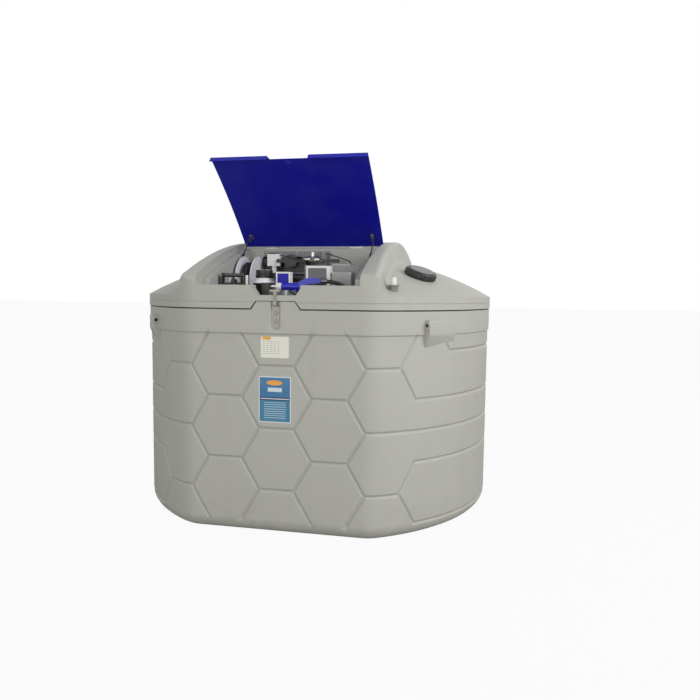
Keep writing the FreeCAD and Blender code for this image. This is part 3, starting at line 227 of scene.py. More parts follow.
darkSteel = makeMetal("darkSteel", (110, 110, 112), 0.42).material
paintedBlack = makePlastic("paintedBlack", (20, 20, 22), 0.32, 0.05, 0.1).material
# capTop is painted highlight on the filler cap's top, and the colour of the control box's buttons
capTop = makePlastic("capTop", (128, 130, 127), 0.55, 0.1, 0.1).material
# capRibs is painted highlight: the knurls of the black filler cap are made grey where light catches them
capRibs = makePlastic("capRibs", (66, 67, 66), 0.45, 0.1, 0.12).material
middleGrey = makePlastic("middleGrey", (128, 129, 124), 0.5, 0.1, 0.12).material
plateGrey = makePlastic("plateGrey", (132, 133, 136), 0.5, 0.05, 0.1).material
reelPlastic = makePlastic("reelPlastic", (236, 238, 242), 0.35, 0.05, 0.1).material
# darkHole is painted shade: black set where holes and slots are shaded inside
darkHole = makePlastic("darkHole", (8, 8, 8), 0.8).material
amberLens = makePlastic("amberLens", (214, 120, 20), 0.25, 0.02, 0.05).material
screenGlass = makePlastic("screenGlass", (40, 39, 46), 0.2, 0.02, 0.05).material
print("materials made")

slotLooks = {
    "tank_plastic": tankPlastic, "black_plastic": blackPlastic, "blue_plastic": lidBlue,
    "white_plastic": whitePlastic, "grey_plastic": greyPlastic, "steel": steel, "painted_steel": darkSteel,
    "seal_rubber": sealRubber, "display": screenGlass,
}
nodeLooks = {
    "guide_roller_low": paintedBlack, "guide_roller_high": paintedBlack, "strut_rod_left": paintedBlack,
    "strut_rod_right": paintedBlack, "breather_dome": reelPlastic, "vent_socket": middleGrey,
    "ball_valve": middleGrey,
    "lid": lidBlue, "lid_staple": partBlue, "nozzle_body": partBlue, "reel_drum": reelPlastic,
    "pump_plate": plateGrey, "console_plate": plateGrey, "hasp_plate": dullSteel, "hasp_strap": dullSteel,
    "hasp_screws": dullSteel, "hasp_pin": dullSteel,
    "hose_guide": paintedBlack, "guide_roller_left": whitePlastic, "guide_roller_right": whitePlastic,
    "strut_cylinder_left": paintedBlack, "strut_cylinder_right": paintedBlack, "pump_motor": paintedBlack,
}
slotOf = {part["node"]: part["material_slot"] for part in frame["record"]["subparts"]}
for nodeName, nodeObject in cadNodes.items():
    nodeLook = nodeLooks.get(nodeName, slotLooks[slotOf[nodeName]])
    if not nodeObject.material_slots:
        nodeObject.data.materials.append(nodeLook)
    for materialSlot in nodeObject.material_slots:
        materialSlot.material = nodeLook


def addPiece(name, mesh, material, body, replaced=()):
    piece = bpy.data.objects.new(name, mesh)
    bpy.context.scene.collection.objects.link(piece)
    mesh.materials.append(material)
    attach(piece, body)
    if replaced:
        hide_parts(*replaced)
    return piece


# Small pieces are gathered by body and material, then joined to one object each
bits = {}


def addBits(body, slotName, material, form, matrix=None):
    if matrix is not None:
        bmesh.ops.transform(form, matrix=matrix, verts=form.verts)
    mesh = bpy.data.meshes.new("bit")
    form.to_mesh(mesh)
    form.free()
    whole = bits.setdefault((body, slotName, material.name), bmesh.new())
    whole.from_mesh(mesh)
    bpy.data.meshes.remove(mesh)


def joinBits():
    for (body, slotName, materialName), whole in bits.items():
        mesh = bpy.data.meshes.new(f"{body}_{materialName}_bits")
        bmesh.ops.recalc_face_normals(whole, faces=whole.faces)
        whole.to_mesh(mesh)
        whole.free()
        mesh.shade_smooth()
        mesh.set_sharp_from_angle(angle=math.radians(32))
        addPiece(mesh.name, mesh, bpy.data.materials[materialName], body)


def boxForm(size, place, bevel=0.0):
    form = bmesh.new()
    bmesh.ops.create_cube(form, size=1, matrix=Matrix.Translation(place) @ Matrix.Diagonal((*size, 1)))
    if bevel:
        bmesh.ops.bevel(form, geom=form.edges[:], offset=bevel, segments=2, profile=0.5, affect="EDGES")
    return form


def latheForm(profile, steps=48, axis="Z"):
    # a closed profile of (radius, height) turned about an axis
    form = bmesh.new()
    verts = [form.verts.new((radius, 0, height)) for radius, height in profile]
    loop = [form.edges.new((verts[index - 1], verts[index])) for index in range(len(verts))]
    bmesh.ops.spin(form, geom=verts + loop, cent=(0, 0, 0), axis=(0, 0, 1), angle=2 * math.pi, steps=steps)
    bmesh.ops.remove_doubles(form, verts=form.verts, dist=1e-5)
    if axis == "X":
        bmesh.ops.rotate(form, verts=form.verts, matrix=Matrix.Rotation(math.pi / 2, 3, "Y"))
    if axis == "Y":
        bmesh.ops.rotate(form, verts=form.verts, matrix=Matrix.Rotation(math.pi / 2, 3, "X"))
    return form


def discForm(radius, thick, axis="Z", bevel=0.001):
    # a solid disc that stands on the origin
    profile = [(0, 0), (radius, 0), (radius, thick - bevel), (radius - bevel, thick), (0, thick)]
    return latheForm(profile, 32, axis)


def screwForm(radius, axis="Z"):
    recess = radius * 0.45
    return latheForm([(0, -0.001), (radius, -0.001), (radius, radius * 0.35), (radius * 0.7, radius * 0.6),
                      (recess, radius * 0.6), (recess, radius * 0.2), (0, radius * 0.2)], 12, axis)


def makeRepeater():
    # a node group that sets a piece at equal steps along a line, or turned by equal steps about its origin
    tree = bpy.data.node_groups.new("repeater", "GeometryNodeTree")
    kinds = {"Piece": "NodeSocketObject", "Count": "NodeSocketInt", "Start": "NodeSocketVector",
             "Step": "NodeSocketVector", "Turn": "NodeSocketVector", "Material": "NodeSocketMaterial"}
    sockets = {name: tree.interface.new_socket(name, in_out="INPUT", socket_type=kind).identifier
               for name, kind in kinds.items()}
    tree.interface.new_socket("Geometry", in_out="OUTPUT", socket_type="NodeSocketGeometry")
    given = tree.nodes.new("NodeGroupInput")
    line = tree.nodes.new("GeometryNodeMeshLine")
    thing = tree.nodes.new("GeometryNodeObjectInfo")
    number = tree.nodes.new("GeometryNodeInputIndex")
    scale = tree.nodes.new("ShaderNodeVectorMath")
    scale.operation = "SCALE"
    turn = tree.nodes.new("FunctionNodeEulerToRotation")
    stand = tree.nodes.new("GeometryNodeInstanceOnPoints")
    real = tree.nodes.new("GeometryNodeRealizeInstances")
    paint = tree.nodes.new("GeometryNodeSetMaterial")
    result = tree.nodes.new("NodeGroupOutput")
    for start, end in (
            (given.outputs["Count"], line.inputs["Count"]),
            (given.outputs["Start"], line.inputs["Start Location"]),
            (given.outputs["Step"], line.inputs["Offset"]), (given.outputs["Piece"], thing.inputs["Object"]),
            (given.outputs["Turn"], scale.inputs[0]), (number.outputs[0], scale.inputs["Scale"]),
            (scale.outputs[0], turn.inputs[0]), (line.outputs[0], stand.inputs["Points"]),
            (thing.outputs["Geometry"], stand.inputs["Instance"]),
            (turn.outputs[0], stand.inputs["Rotation"]),
            (stand.outputs[0], real.inputs[0]), (real.outputs[0], paint.inputs["Geometry"]),
            (given.outputs["Material"], paint.inputs["Material"]), (paint.outputs[0], result.inputs[0])):
        tree.links.new(start, end)
    return tree, sockets


repeater, repeaterSockets = makeRepeater()


def repeat(form, material, body, slotName, count, start=(0, 0, 0), step=(0, 0, 0), turn=(0, 0, 0),
           matrix=None):
    source = bpy.data.meshes.new("source")
    form.to_mesh(source)
    form.free()
    piece = bpy.data.objects.new("source", source)
    bpy.context.scene.collection.objects.link(piece)
    host = bpy.data.objects.new("host", bpy.data.meshes.new("host"))
    bpy.context.scene.collection.objects.link(host)
    modifier = host.modifiers.new("repeat", "NODES")
    modifier.node_group = repeater
    values = {"Piece": piece, "Count": count, "Start": start, "Step": step, "Turn": turn,
              "Material": material}
    for key, value in values.items():
        modifier[repeaterSockets[key]] = value
    bpy.context.view_layer.update()
    ready = host.evaluated_get(bpy.context.evaluated_depsgraph_get())
    mesh = bpy.data.meshes.new_from_object(ready)
    host.modifiers.remove(modifier)
    bpy.data.objects.remove(host)
    bpy.data.objects.remove(piece)
    whole = bmesh.new()
    whole.from_mesh(mesh)
    bpy.data.meshes.remove(mesh)
    addBits(body, slotName, material, whole, matrix)


# The outer tank's wall, laid out flat as run along the wall and height, then bent to the plan
wallSizes = {
    "radius": 1.178, "front": 1.0335, "corner": 0.215, "bottomRound": 0.092, "thick": 0.012,
    "rim": 1.330, "ledge": 1.192, "bandProud": 0.008,
    "tabRise": 0.049, "tabTopHalf": 0.115, "tabSlope": 0.033,
    "hexSide": 0.212, "hexCentre": 0.819, "grooveHalf": 0.0145, "grooveDepth": 0.0085,
    "recessHalf": 0.027, "recessBottom": 1.215, "recessDepth": 0.013, "step": 0.034,
}


class WallPlan:
    # the D-shaped plan: a circle, a flat front and round corners between them
    def __init__(self, sizes):
        self.radius = sizes["radius"]
        self.front = sizes["front"]
        self.corner = sizes["corner"]
        self.y = self.front - self.corner
        self.x = math.sqrt((self.radius - self.corner) ** 2 - self.y ** 2)
        self.low = math.atan2(self.y, self.x)
        self.bend = self.corner * (math.pi / 2 - self.low)
        self.half = self.x + self.bend + self.radius * (self.low + math.pi / 2)

    def at(self, run):
        # places and outward directions for an array of runs from the middle of the front
        side = numpy.where(run < 0, -1.0, 1.0)
        far = numpy.abs(run)
        bendAngle = -math.pi / 2 + (far - self.x) / self.corner
        backAngle = -self.low + (far - self.x - self.bend) / self.radius
        flat = far <= self.x
        bent = far <= self.x + self.bend
        angle = numpy.where(flat, -math.pi / 2, numpy.where(bent, bendAngle, backAngle))
        outX = numpy.cos(angle)
        outY = numpy.sin(angle)
        placeX = numpy.where(flat, far, numpy.where(bent, self.x + outX * self.corner, outX * self.radius))
        backY = numpy.where(bent, -self.y + outY * self.corner, outY * self.radius)
        placeY = numpy.where(flat, -self.front, backY)
        return placeX * side, placeY, outX * side, outY


def hexagonLines(sizes, plan):
    # centre lines of the grooves, as ((run, height), (run, height))
    half = math.sqrt(3) / 2
    side = sizes["hexSide"]
    centre = sizes["hexCentre"]
    links = [
        ((0.5, half), (1, 0)), ((1, 0), (0.5, -half)), ((0.5, -half), (1, -2 * half)),
        ((1, -2 * half), (0.5, -3 * half)), ((0.5, -3 * half), (1, -4 * half)), ((0.5, half), (1, 2 * half)),
        ((2, 2 * half), (2.5, half)), ((1, 0), (2, 0)), ((2.5, half), (2, 0)), ((2, 0), (2.5, -half)),
        ((1, -2 * half), (2, -2 * half)), ((2.5, -half), (2, -2 * half)), ((2, -2 * half), (2.5, -3 * half)),
        ((2.5, -3 * half), (2, -4 * half)), ((2.5, half), (3.5, half)), ((2.5, -3 * half), (3.5, -3 * half)),
        ((3.5, half), (4, 2 * half)), ((3.5, half), (4, 0)), ((5, 2 * half), (5.25, 1.5 * half)),
        ((3.5, -3 * half), (4, -2 * half)), ((3.5, -3 * half), (4, -4 * half)), ((2.5, -half), (3.2, -half)),
    ]
    edge = plan.half / side
    links += [((start, level), (edge, level)) for start, level in (
        (3.2, -half), (4, 0), (4, -2 * half), (4, -4 * half), (5.25, 1.5 * half))]
    lines = [((-0.5 * side, centre + level * side), (0.5 * side, centre + level * side))
             for level in (half, -half, -3 * half)]
    for hand in (1, -1):
        for start, end in links:
            lines.append(tuple((hand * run * side, centre + level * side) for run, level in (start, end)))
    return lines


def smooth(value, low, high):
    share = numpy.clip((value - low) / (high - low), 0, 1)
    return share * share * (3 - 2 * share)


def grooveShare(run, height, lines, halfWidth):
    # 1 on a groove's centre line, 0 at its edges and beyond
    nearest = numpy.full(run.shape, 9.0)
    for (startRun, startHeight), (endRun, endHeight) in lines:
        alongRun = endRun - startRun
        alongHeight = endHeight - startHeight
        share = ((run - startRun) * alongRun + (height - startHeight) * alongHeight) / (
            alongRun ** 2 + alongHeight ** 2)
        share = numpy.clip(share, 0, 1)
        nearest = numpy.minimum(nearest, numpy.hypot(run - startRun - share * alongRun,
                                                     height - startHeight - share * alongHeight))
    return 0.5 + 0.5 * numpy.cos(math.pi * numpy.clip(nearest / halfWidth, 0, 1))


def recessShare(run, height, sizes):
    # 1 inside the hasp's recess, falling to 0 over its drafted edge
    middle = sizes["recessBottom"] + sizes["recessHalf"]
    outside = numpy.hypot(run, numpy.minimum(height - middle, 0)) - sizes["recessHalf"]
    return 1 - smooth(outside, -0.003, 0.003)


def wallPoint(run, height, sizes, plan, lines):
    # height runs on below zero of the bottom's round as the length of its arc
    placeX, placeY, outX, outY = plan.at(run)
    bottom = sizes["bottomRound"]
    turn = numpy.clip((bottom - height) / bottom, 0, math.pi / 2)
    inward = bottom * (1 - numpy.cos(turn))
    level = numpy.where(height < bottom, bottom - bottom * numpy.sin(turn), height)
    groove = grooveShare(run, height, lines, sizes["grooveHalf"])
    push = sizes["bandProud"] * smooth(height, sizes["ledge"] - 0.005, sizes["ledge"] + 0.005)
    push = push - sizes["grooveDepth"] * groove - sizes["recessDepth"] * recessShare(run, height, sizes)
    push = push * numpy.cos(turn) - inward
    rise = sizes["grooveDepth"] * groove * numpy.sin(turn)
    return placeX + outX * push, placeY + outY * push, level + rise, groove


def layWall(sizes, plan, lines):
    # points and edges of the flat layout, and the polygon around it
    points = []
    edges = []

    def addLine(start, end, step):
        count = max(1, math.ceil(abs(end[0] - start[0]) / step))
        first = len(points)
        for index in range(count + 1):
            share = index / count
            run = start[0] + (end[0] - start[0]) * share
            height = start[1] + (end[1] - start[1]) * share
            points.append(Vector((run, height)))
        edges.extend((first + index, first + index + 1) for index in range(count))

    half = plan.half
    bottom = sizes["bottomRound"] * (1 - math.pi / 2)
    rim = sizes["rim"]
    top = rim + sizes["tabRise"]
    wide = sizes["tabTopHalf"] + sizes["tabSlope"]
    step = sizes["step"]
    border = [(-half, bottom), (half, bottom), (half, rim), (wide, rim), (sizes["tabTopHalf"], top),
              (-sizes["tabTopHalf"], top), (-wide, rim), (-half, rim)]
    for index, corner in enumerate(border):
        end = border[(index + 1) % len(border)]
        if abs(end[0] - corner[0]) < 1e-6:
            levels = [corner[1] + (end[1] - corner[1]) * part / 40 for part in range(41)]
            for low, high in zip(levels, levels[1:]):
                addLine((corner[0], low), (end[0], high), step)
        else:
            addLine(corner, end, step)
    for level in (-0.02, 0.005, 0.03, 0.055, 0.08, 0.092):
        addLine((-half, level), (half, level), step)
    for offset in (-0.005, -0.002, 0.002, 0.005):
        addLine((-half, sizes["ledge"] + offset), (half, sizes["ledge"] + offset), step)
    count = round(2 * half / step)
    for column in range(count + 1):
        run = -half + 2 * half * column / count
        points.extend(Vector((run, 0.14 + row * 0.062)) for row in range(17))
        points.extend(Vector((run, sizes["ledge"] + 0.03 + row * 0.035)) for row in range(3))
    for offset in (-0.003, -0.001, 0.001, 0.003):
        reach = sizes["recessHalf"] + offset
        middle = sizes["recessBottom"] + sizes["recessHalf"]
        rounds = [(reach * math.cos(angle), middle + reach * math.sin(angle))
                  for angle in (math.pi * part / 16 for part in range(-16, 1))]
        path = [(-reach, top), *rounds, (reach, top)]
        for start, end in zip(path, path[1:]):
            addLine(start, end, step)
    shares = (-1, -0.75, -0.5, -0.25, 0, 0.25, 0.5, 0.75, 1)
    for start, end in lines:
        along = Vector((end[0] - start[0], end[1] - start[1])).normalized()
        aside = Vector((-along.y, along.x)) * sizes["grooveHalf"]
        reach = along * sizes["grooveHalf"] * 0.6
        for share in shares:
            first = Vector(start) - reach + aside * share
            last = Vector(end) + reach + aside * share
            first.x = max(-half, min(half, first.x))
            last.x = max(-half, min(half, last.x))
            first.y = max(bottom, first.y)
            last.y = max(bottom, last.y)
            addLine(first, last, step * 0.8)
    return points, edges, border


def makeWall():
    sizes = wallSizes
    plan = WallPlan(sizes)
    lines = hexagonLines(sizes, plan)
    points, edges, border = layWall(sizes, plan, lines)
    first = len(points)
    points.extend(Vector(corner) for corner in border)
    outline = list(range(first, first + len(border)))
    laid, _, triangles, _, _, _ = geometry.delaunay_2d_cdt(points, edges, [outline], 1, 1e-5)
    run = numpy.array([point.x for point in laid])
    height = numpy.array([point.y for point in laid])
    x, y, z, groove = wallPoint(run, height, sizes, plan, lines)
    step = 0.0004
    ahead = numpy.array(wallPoint(run + step, height, sizes, plan, lines)[:3])
    behind = numpy.array(wallPoint(run - step, height, sizes, plan, lines)[:3])
    above = numpy.array(wallPoint(run, height + step, sizes, plan, lines)[:3])
    below = numpy.array(wallPoint(run, height - step, sizes, plan, lines)[:3])
    normals = numpy.cross((ahead - behind).T, (above - below).T)
    normals /= numpy.linalg.norm(normals, axis=1)[:, None]
    mesh = bpy.data.meshes.new("tankWall")
    mesh.from_pydata(numpy.stack([x, y, z], axis=1).tolist(), [], [tuple(face) for face in triangles])
    share = mesh.attributes.new("groove", "FLOAT", "POINT")
    share.data.foreach_set("value", groove.astype(numpy.float32))
    mesh.shade_smooth()
    mesh.normals_split_custom_set_from_vertices(normals.tolist())
    print("wall triangles:", len(mesh.polygons))
    closing = bmesh.new()
    closing.from_mesh(mesh)
    rims = [edge for edge in closing.edges if edge.is_boundary]
    bmesh.ops.delete(closing, geom=closing.faces[:], context="FACES_ONLY")
    top = [edge for edge in rims if min(vert.co.z for vert in edge.verts) > sizes["rim"] - 0.002]
    below = [edge for edge in rims if max(vert.co.z for vert in edge.verts) < 0.001]
    bmesh.ops.edgeloop_fill(closing, edges=below)
    turned = bmesh.ops.extrude_edge_only(closing, edges=top)["geom"]
    for vert in (item for item in turned if isinstance(item, bmesh.types.BMVert)):
        inward = Vector((vert.co.x, vert.co.y, 0)).normalized() * sizes["thick"]
        if vert.co.y < 0 and abs(vert.co.x) < plan.x:
            inward = Vector((0, -sizes["thick"], 0))
        vert.co -= inward
    addBits("tank", "tank_plastic", tankPlastic, closing)
    return addPiece("tankWall", mesh, wallPlastic, "tank", ("outer_tank",))


makeWall()

# Lifting lugs at the two sides, in their own frame: X out of the tank, Y along the wall
lugSizes = {
    "angle": 38.8, "length": 0.250, "proud": 0.040, "taper": 0.030,
    "low": 1.192, "high": 1.280, "skirt": 0.070,
    "holeOut": 0.016, "holeUp": 0.014, "hole": 0.011, "boss": 0.027, "bevel": 0.010,
}


def makeLug(hand):
    sizes = lugSizes
    wall = wallSizes["radius"] - 0.020
    face = wallSizes["radius"] + sizes["proud"]
    far = sizes["length"] / 2
    side = -hand
    slope = sizes["taper"] / 2
    plans = [
        (sizes["low"] - sizes["skirt"], [(wall, side * far), (wall + 0.020, side * far),
                                         (wall - slope + 0.020, -side * far), (wall - slope, -side * far)]),
        (sizes["low"], [(wall, side * far), (face, side * far), (face - sizes["taper"], -side * far),
                        (wall - slope, -side * far)]),
        (sizes["high"], [(wall, side * far), (face, side * far), (face - sizes["taper"], -side * far),
                         (wall - slope, -side * far)]),
    ]
    form = bmesh.new()
    levels = [[form.verts.new((x, y, level)) for x, y in corners] for level, corners in plans]
    form.faces.new(levels[0])
    form.faces.new(levels[-1])
    for low, high in zip(levels, levels[1:]):
        for index in range(4):
            form.faces.new((low[index - 1], low[index], high[index], high[index - 1]))
    bmesh.ops.recalc_face_normals(form, faces=form.faces)
    outer = [edge for edge in form.edges if all(vert.co.x > wall + 0.002 for vert in edge.verts)]
    bmesh.ops.bevel(form, geom=outer, offset=sizes["bevel"], segments=4, profile=0.5, affect="EDGES")
    turn = Matrix.Rotation(math.radians(-sizes["angle"] if hand > 0 else sizes["angle"] + 180), 4, "Z")
    addBits("tank", "tank_plastic", tankPlastic, form, turn)
    centre = Vector((wallSizes["radius"] + sizes["holeOut"], side * (far - 0.001),
                     (sizes["low"] + sizes["high"]) / 2 + sizes["holeUp"]))
    flip = Matrix.Rotation(math.pi / 2 * (1 if side < 0 else -1), 4, "X")
    boss = latheForm([(sizes["hole"], 0), (sizes["boss"], 0), (sizes["boss"] - 0.003, 0.005),
                      (sizes["hole"] + 0.003, 0.006), (sizes["hole"], 0.004)])
    addBits("tank", "tank_plastic", tankPlastic, boss, turn @ Matrix.Translation(centre) @ flip)
    # painted shade: a black disc in the boss stands for the shaded inside of the lifting hole
    addBits("tank", "tank_plastic", darkHole, discForm(sizes["hole"] + 0.001, 0.003),
            turn @ Matrix.Translation(centre) @ flip)


for side in (1, -1):
    makeLug(side)

# Labels on the front, with a plain design and no words
labelSizes = {
    "main": (-0.103, 0.092, 0.675, 0.944), "note": (-0.091, 0.079, 1.053, 1.177),
    "proud": 0.0006, "corner": 0.008,
}


def within(x, z, box, margin=0.0):
    left, right, low, high = box
    across = (x - (left + right) / 2).math("ABSOLUTE") < (right - left) / 2 - margin
    return across * ((z - (low + high) / 2).math("ABSOLUTE") < (high - low) / 2 - margin)


def makeLabelLook(box):
    left, right, low, high = box
    wide = right - left
    tall = high - low
    surface = Surface("labelMain", linear(34, 110, 158), 0.35, coat=0.2)
    x, z = surface.axis(0), surface.axis(2)
    field = within(x, z, box, 0.005)
    colour = surface.mix(field, linear(226, 229, 230), linear(34, 110, 158))
    lower = within(x, z, (left + 0.005, right - 0.005, low + 0.005, low + tall * 0.5))
    colour = surface.mix(lower, colour, linear(44, 122, 156))
    band = within(x, z, (left + 0.005, right - 0.005, low + tall * 0.48, low + tall * 0.555))
    colour = surface.mix(band, colour, linear(16, 40, 96))
    rule = within(x, z, (left + wide * 0.06, right - wide * 0.06, low + tall * 0.508, low + tall * 0.526))
    colour = surface.mix(rule, colour, linear(226, 229, 230))
    ovalX = (x - (left + wide * 0.49)) / (wide * 0.25)
    ovalZ = (z - (low + tall * 0.865)) / (tall * 0.055)
    oval = (ovalX * ovalX + ovalZ * ovalZ) < 1
    colour = surface.mix(oval, colour, linear(236, 158, 34))
    bars = within(x, z, (left + wide * 0.28, right - wide * 0.28, low + tall * 0.67, low + tall * 0.76))
    colour = surface.mix(bars, colour, linear(206, 222, 232))
    lines = within(x, z, (left + wide * 0.16, right - wide * 0.16, low + tall * 0.06, low + tall * 0.44))
    rows = ((z - low) / 0.0128).math("FRACT") < 0.3
    colour = surface.mix(lines * rows * 0.8, colour, linear(206, 222, 232))
    surface.feed(colour=colour, roughness=0.3 + surface.noise(60) * 0.15)
    return surface.bump(surface.noise(240, 2.0), 0.03, 0.0004).material


def makeNoteLook(box):
    left, right, low, high = box
    wide = right - left
    tall = high - low
    surface = Surface("labelNote", linear(232, 231, 219), 0.45)
    x, z = surface.axis(0), surface.axis(2)
    lines = within(x, z, (left + wide * 0.08, right - wide * 0.3, low + tall * 0.14, high - tall * 0.2))
    rows = ((z - low) / 0.0115).math("FRACT") < 0.3
    broken = surface.noise(90, 0.0, stretch=(1, 1, 0.01)) > 0.44
    colour = surface.mix(lines * rows * broken, linear(232, 231, 219), linear(184, 183, 174))
    patch = within(x, z, (left + wide * 0.06, left + wide * 0.36, high - tall * 0.16, high))
    colour = surface.mix(patch, colour, linear(226, 176, 62))
    surface.feed(colour=colour, roughness=0.4 + surface.noise(60) * 0.15)
    return surface.bump(surface.noise(240, 2.0), 0.03, 0.0004).material


def makeLabel(box, look):
    left, right, low, high = box
    corner = labelSizes["corner"]
    outline = []
    for cornerX, cornerZ, start in ((right - corner, high - corner, 0), (left + corner, high - corner, 90),
                                    (left + corner, low + corner, 180), (right - corner, low + corner, 270)):
        for part in range(7):
            angle = math.radians(start + part * 15)
            outline.append((cornerX + corner * math.cos(angle), cornerZ + corner * math.sin(angle)))
    form = bmesh.new()
    y = -wallSizes["front"]
    face = form.faces.new([form.verts.new((x, y, z)) for x, z in outline])
    lifted = bmesh.ops.extrude_face_region(form, geom=[face])["geom"]
    moved = [item for item in lifted if isinstance(item, bmesh.types.BMVert)]
    bmesh.ops.translate(form, verts=moved, vec=(0, -labelSizes["proud"], 0))
    addBits("tank", "tank_plastic", look, form)


makeLabel(labelSizes["main"], makeLabelLook(labelSizes["main"]))
makeLabel(labelSizes["note"], makeNoteLook(labelSizes["note"]))
print("wall, lugs and labels made")

# The free length of the hose
hoseFacts = {
    "radius": 0.0115,
    "route": [
        (228.3, -880, 1498.5), (323, -880, 1498.5), (391, -839, 1445), (391, -782, 1369), (323, -743, 1315),
        (225, -737, 1314), (122, -748, 1314), (22, -782, 1314), (-62, -836, 1320), (-136, -884, 1348),
        (-196, -908, 1392), (-247, -915, 1434), (-287, -912, 1463), (-316, -893, 1486), (-336, -861, 1499),
        (-343, -817, 1504), (-346, -745, 1490), (-352.8, -640, 1444), (-352.6, -532, 1391.5),
        (-352.6, -432.9, 1354.6), (-352.6, -345.2, 1384.5), (-352.6, -297.2, 1463.7)],
}


def makeHose():
    curve = bpy.data.curves.new("hose", "CURVE")
    curve.dimensions = "3D"
    curve.bevel_depth = hoseFacts["radius"]
    curve.bevel_resolution = 5
    curve.resolution_u = 8
    curve.use_fill_caps = True
    spline = curve.splines.new("NURBS")
    spline.points.add(len(hoseFacts["route"]) - 1)
    for point, place in zip(spline.points, hoseFacts["route"]):
        point.co = (*[value / 1000 for value in place], 1)
    spline.order_u = 3
    spline.use_endpoint_u = True
    hose = bpy.data.objects.new("deliveryHose", curve)
    bpy.context.scene.collection.objects.link(hose)
    curve.materials.append(hoseRubber)
    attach(hose, "tank")
    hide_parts("delivery_hose")
    return hose


makeHose()
print("hose laid")

# Fittings on the roof
roofSizes = {
    "capReach": 0.926, "capBearing": -34.2, "capHigh": 1.5388, "capLean": 21.63,
    "capRibs": 36, "capRib": (0.008, 0.009, 0.026), "ribHigh": 0.018,
    "capRadius": 0.0965, "capTop": 0.0442, "paintedSheenDisc": 0.078, "discDeep": 0.003, "discProud": 0.0015,
}


def makeCapDress():
    sizes = roofSizes
    bearing = math.radians(sizes["capBearing"])
    reach = sizes["capReach"]
    place = Vector((reach * math.cos(bearing), reach * math.sin(bearing), sizes["capHigh"]))
    stand = (Matrix.Translation(place) @ Matrix.Rotation(bearing, 4, "Z")
             @ Matrix.Rotation(math.radians(sizes["capLean"]), 4, "Y"))
    # painted highlight: the ribs are grey where light on black knurls would be
    rib = boxForm(sizes["capRib"], (sizes["capRadius"], 0, sizes["ribHigh"]), 0.001)
    repeat(rib, capRibs, "filler_cap", "black_plastic", sizes["capRibs"],
           turn=(0, 0, 2 * math.pi / sizes["capRibs"]), matrix=stand)
    # painted highlight: a grey disc set into the black top of the cap stands for light on its upward face
    low = sizes["capTop"] - sizes["discDeep"]
    high = sizes["capTop"] + sizes["discProud"]
    top = latheForm([(0, low), (sizes["paintedSheenDisc"], low), (sizes["paintedSheenDisc"], sizes["capTop"]),
                     (sizes["paintedSheenDisc"] - 0.002, high), (0, high)])
    addBits("filler_cap", "black_plastic", capTop, top, stand)


makeCapDress()

# Reel: ridges on the outer faces of both flanges and a bolt circle round the shaft
reelSizes = {
    "place": (-0.372, -0.430, 1.490), "half": 0.040, "dish": 0.012, "hub": 0.076, "rim": 0.166, "ridges": 18,
    "ridgeHalf": 0.0022, "ridgeHigh": 0.0012, "bolts": 6, "boltCircle": 0.034, "bolt": 0.005,
}


def makeReelDress():
    sizes = reelSizes
    for hand in (-1, 1):
        form = bmesh.new()
        inner = sizes["half"]
        outer = sizes["half"] + sizes["dish"]
        lift = sizes["ridgeHigh"]
        profile = [(inner - 0.001, sizes["hub"]), (inner + lift, sizes["hub"]), (outer + lift, sizes["rim"]),
                   (outer - 0.001, sizes["rim"])]
        sides = [[form.verts.new((hand * x, y, z)) for x, z in profile]
                 for y in (-sizes["ridgeHalf"], sizes["ridgeHalf"])]
        form.faces.new(sides[0])
        form.faces.new(sides[1])
        for index in range(4):
            form.faces.new((sides[0][index - 1], sides[0][index], sides[1][index], sides[1][index - 1]))
        repeat(form, reelPlastic, "reel", "white_plastic", sizes["ridges"],
               turn=(2 * math.pi / sizes["ridges"], 0, 0), matrix=Matrix.Translation(sizes["place"]))
        bolt = screwForm(sizes["bolt"], "X")
        bmesh.ops.scale(bolt, vec=(hand, 1, 1), verts=bolt.verts)
        bmesh.ops.translate(bolt, vec=(hand * sizes["half"], 0, sizes["boltCircle"]), verts=bolt.verts)
        repeat(bolt, steel, "reel", "white_plastic", sizes["bolts"],
               turn=(2 * math.pi / sizes["bolts"], 0, 0), matrix=Matrix.Translation(sizes["place"]))


makeReelDress()

# The terminal box of the pump motor and two screws on its lid; one cooling fin is shaped from the fin sizes
# but not placed
motorSizes = {
    "fins": 9, "finStart": -0.309, "finStep": 0.0095, "finRadius": 0.0432, "axis": (-0.330, 1.630),
    "box": (0.052, 0.040, 0.022), "boxX": -0.272, "boxUp": 0.050, "screw": 0.0028, "screwStep": 0.036,
}


def makeMotorDress():
    sizes = motorSizes
    y, z = sizes["axis"]
    radius = sizes["finRadius"]
    inner = radius - 0.004
    fin = latheForm([(inner, 0), (radius, 0.0008), (radius, 0.0030), (inner, 0.0038)], 40, "X")
    box = boxForm(sizes["box"], (sizes["boxX"], y, z + sizes["boxUp"]), 0.003)
    addBits("tank", "black_plastic", paintedBlack, box)
    lid = z + sizes["boxUp"] + sizes["box"][2] / 2
    first = sizes["boxX"] - sizes["screwStep"] / 2
    repeat(screwForm(sizes["screw"]), steel, "tank", "steel", 2, start=(first, y, lid),
           step=(sizes["screwStep"], 0, 0))


# Ribs of the valve's union and the white post of the hose guide
pipeSizes = {
    "ribs": 5, "ribStart": (0.0105, -0.330, 1.650), "ribStep": 0.0078, "ribIn": 0.016, "ribOut": 0.029,
    "post": (0.016, 0.010, 0.230), "postPlace": (-0.262, -0.809, 1.418),
}


def makePipeRibs():
    sizes = pipeSizes
    inner = sizes["ribIn"]
    outer = sizes["ribOut"]
    rib = latheForm([(inner, 0), (outer, 0.0006), (outer, 0.0050), (inner, 0.0056)], 6, "X")
    repeat(rib, middleGrey, "tank", "grey_plastic", sizes["ribs"], start=sizes["ribStart"],
           step=(sizes["ribStep"], 0, 0))
    addBits("tank", "white_plastic", whitePlastic, boxForm(sizes["post"], sizes["postPlace"], 0.002))


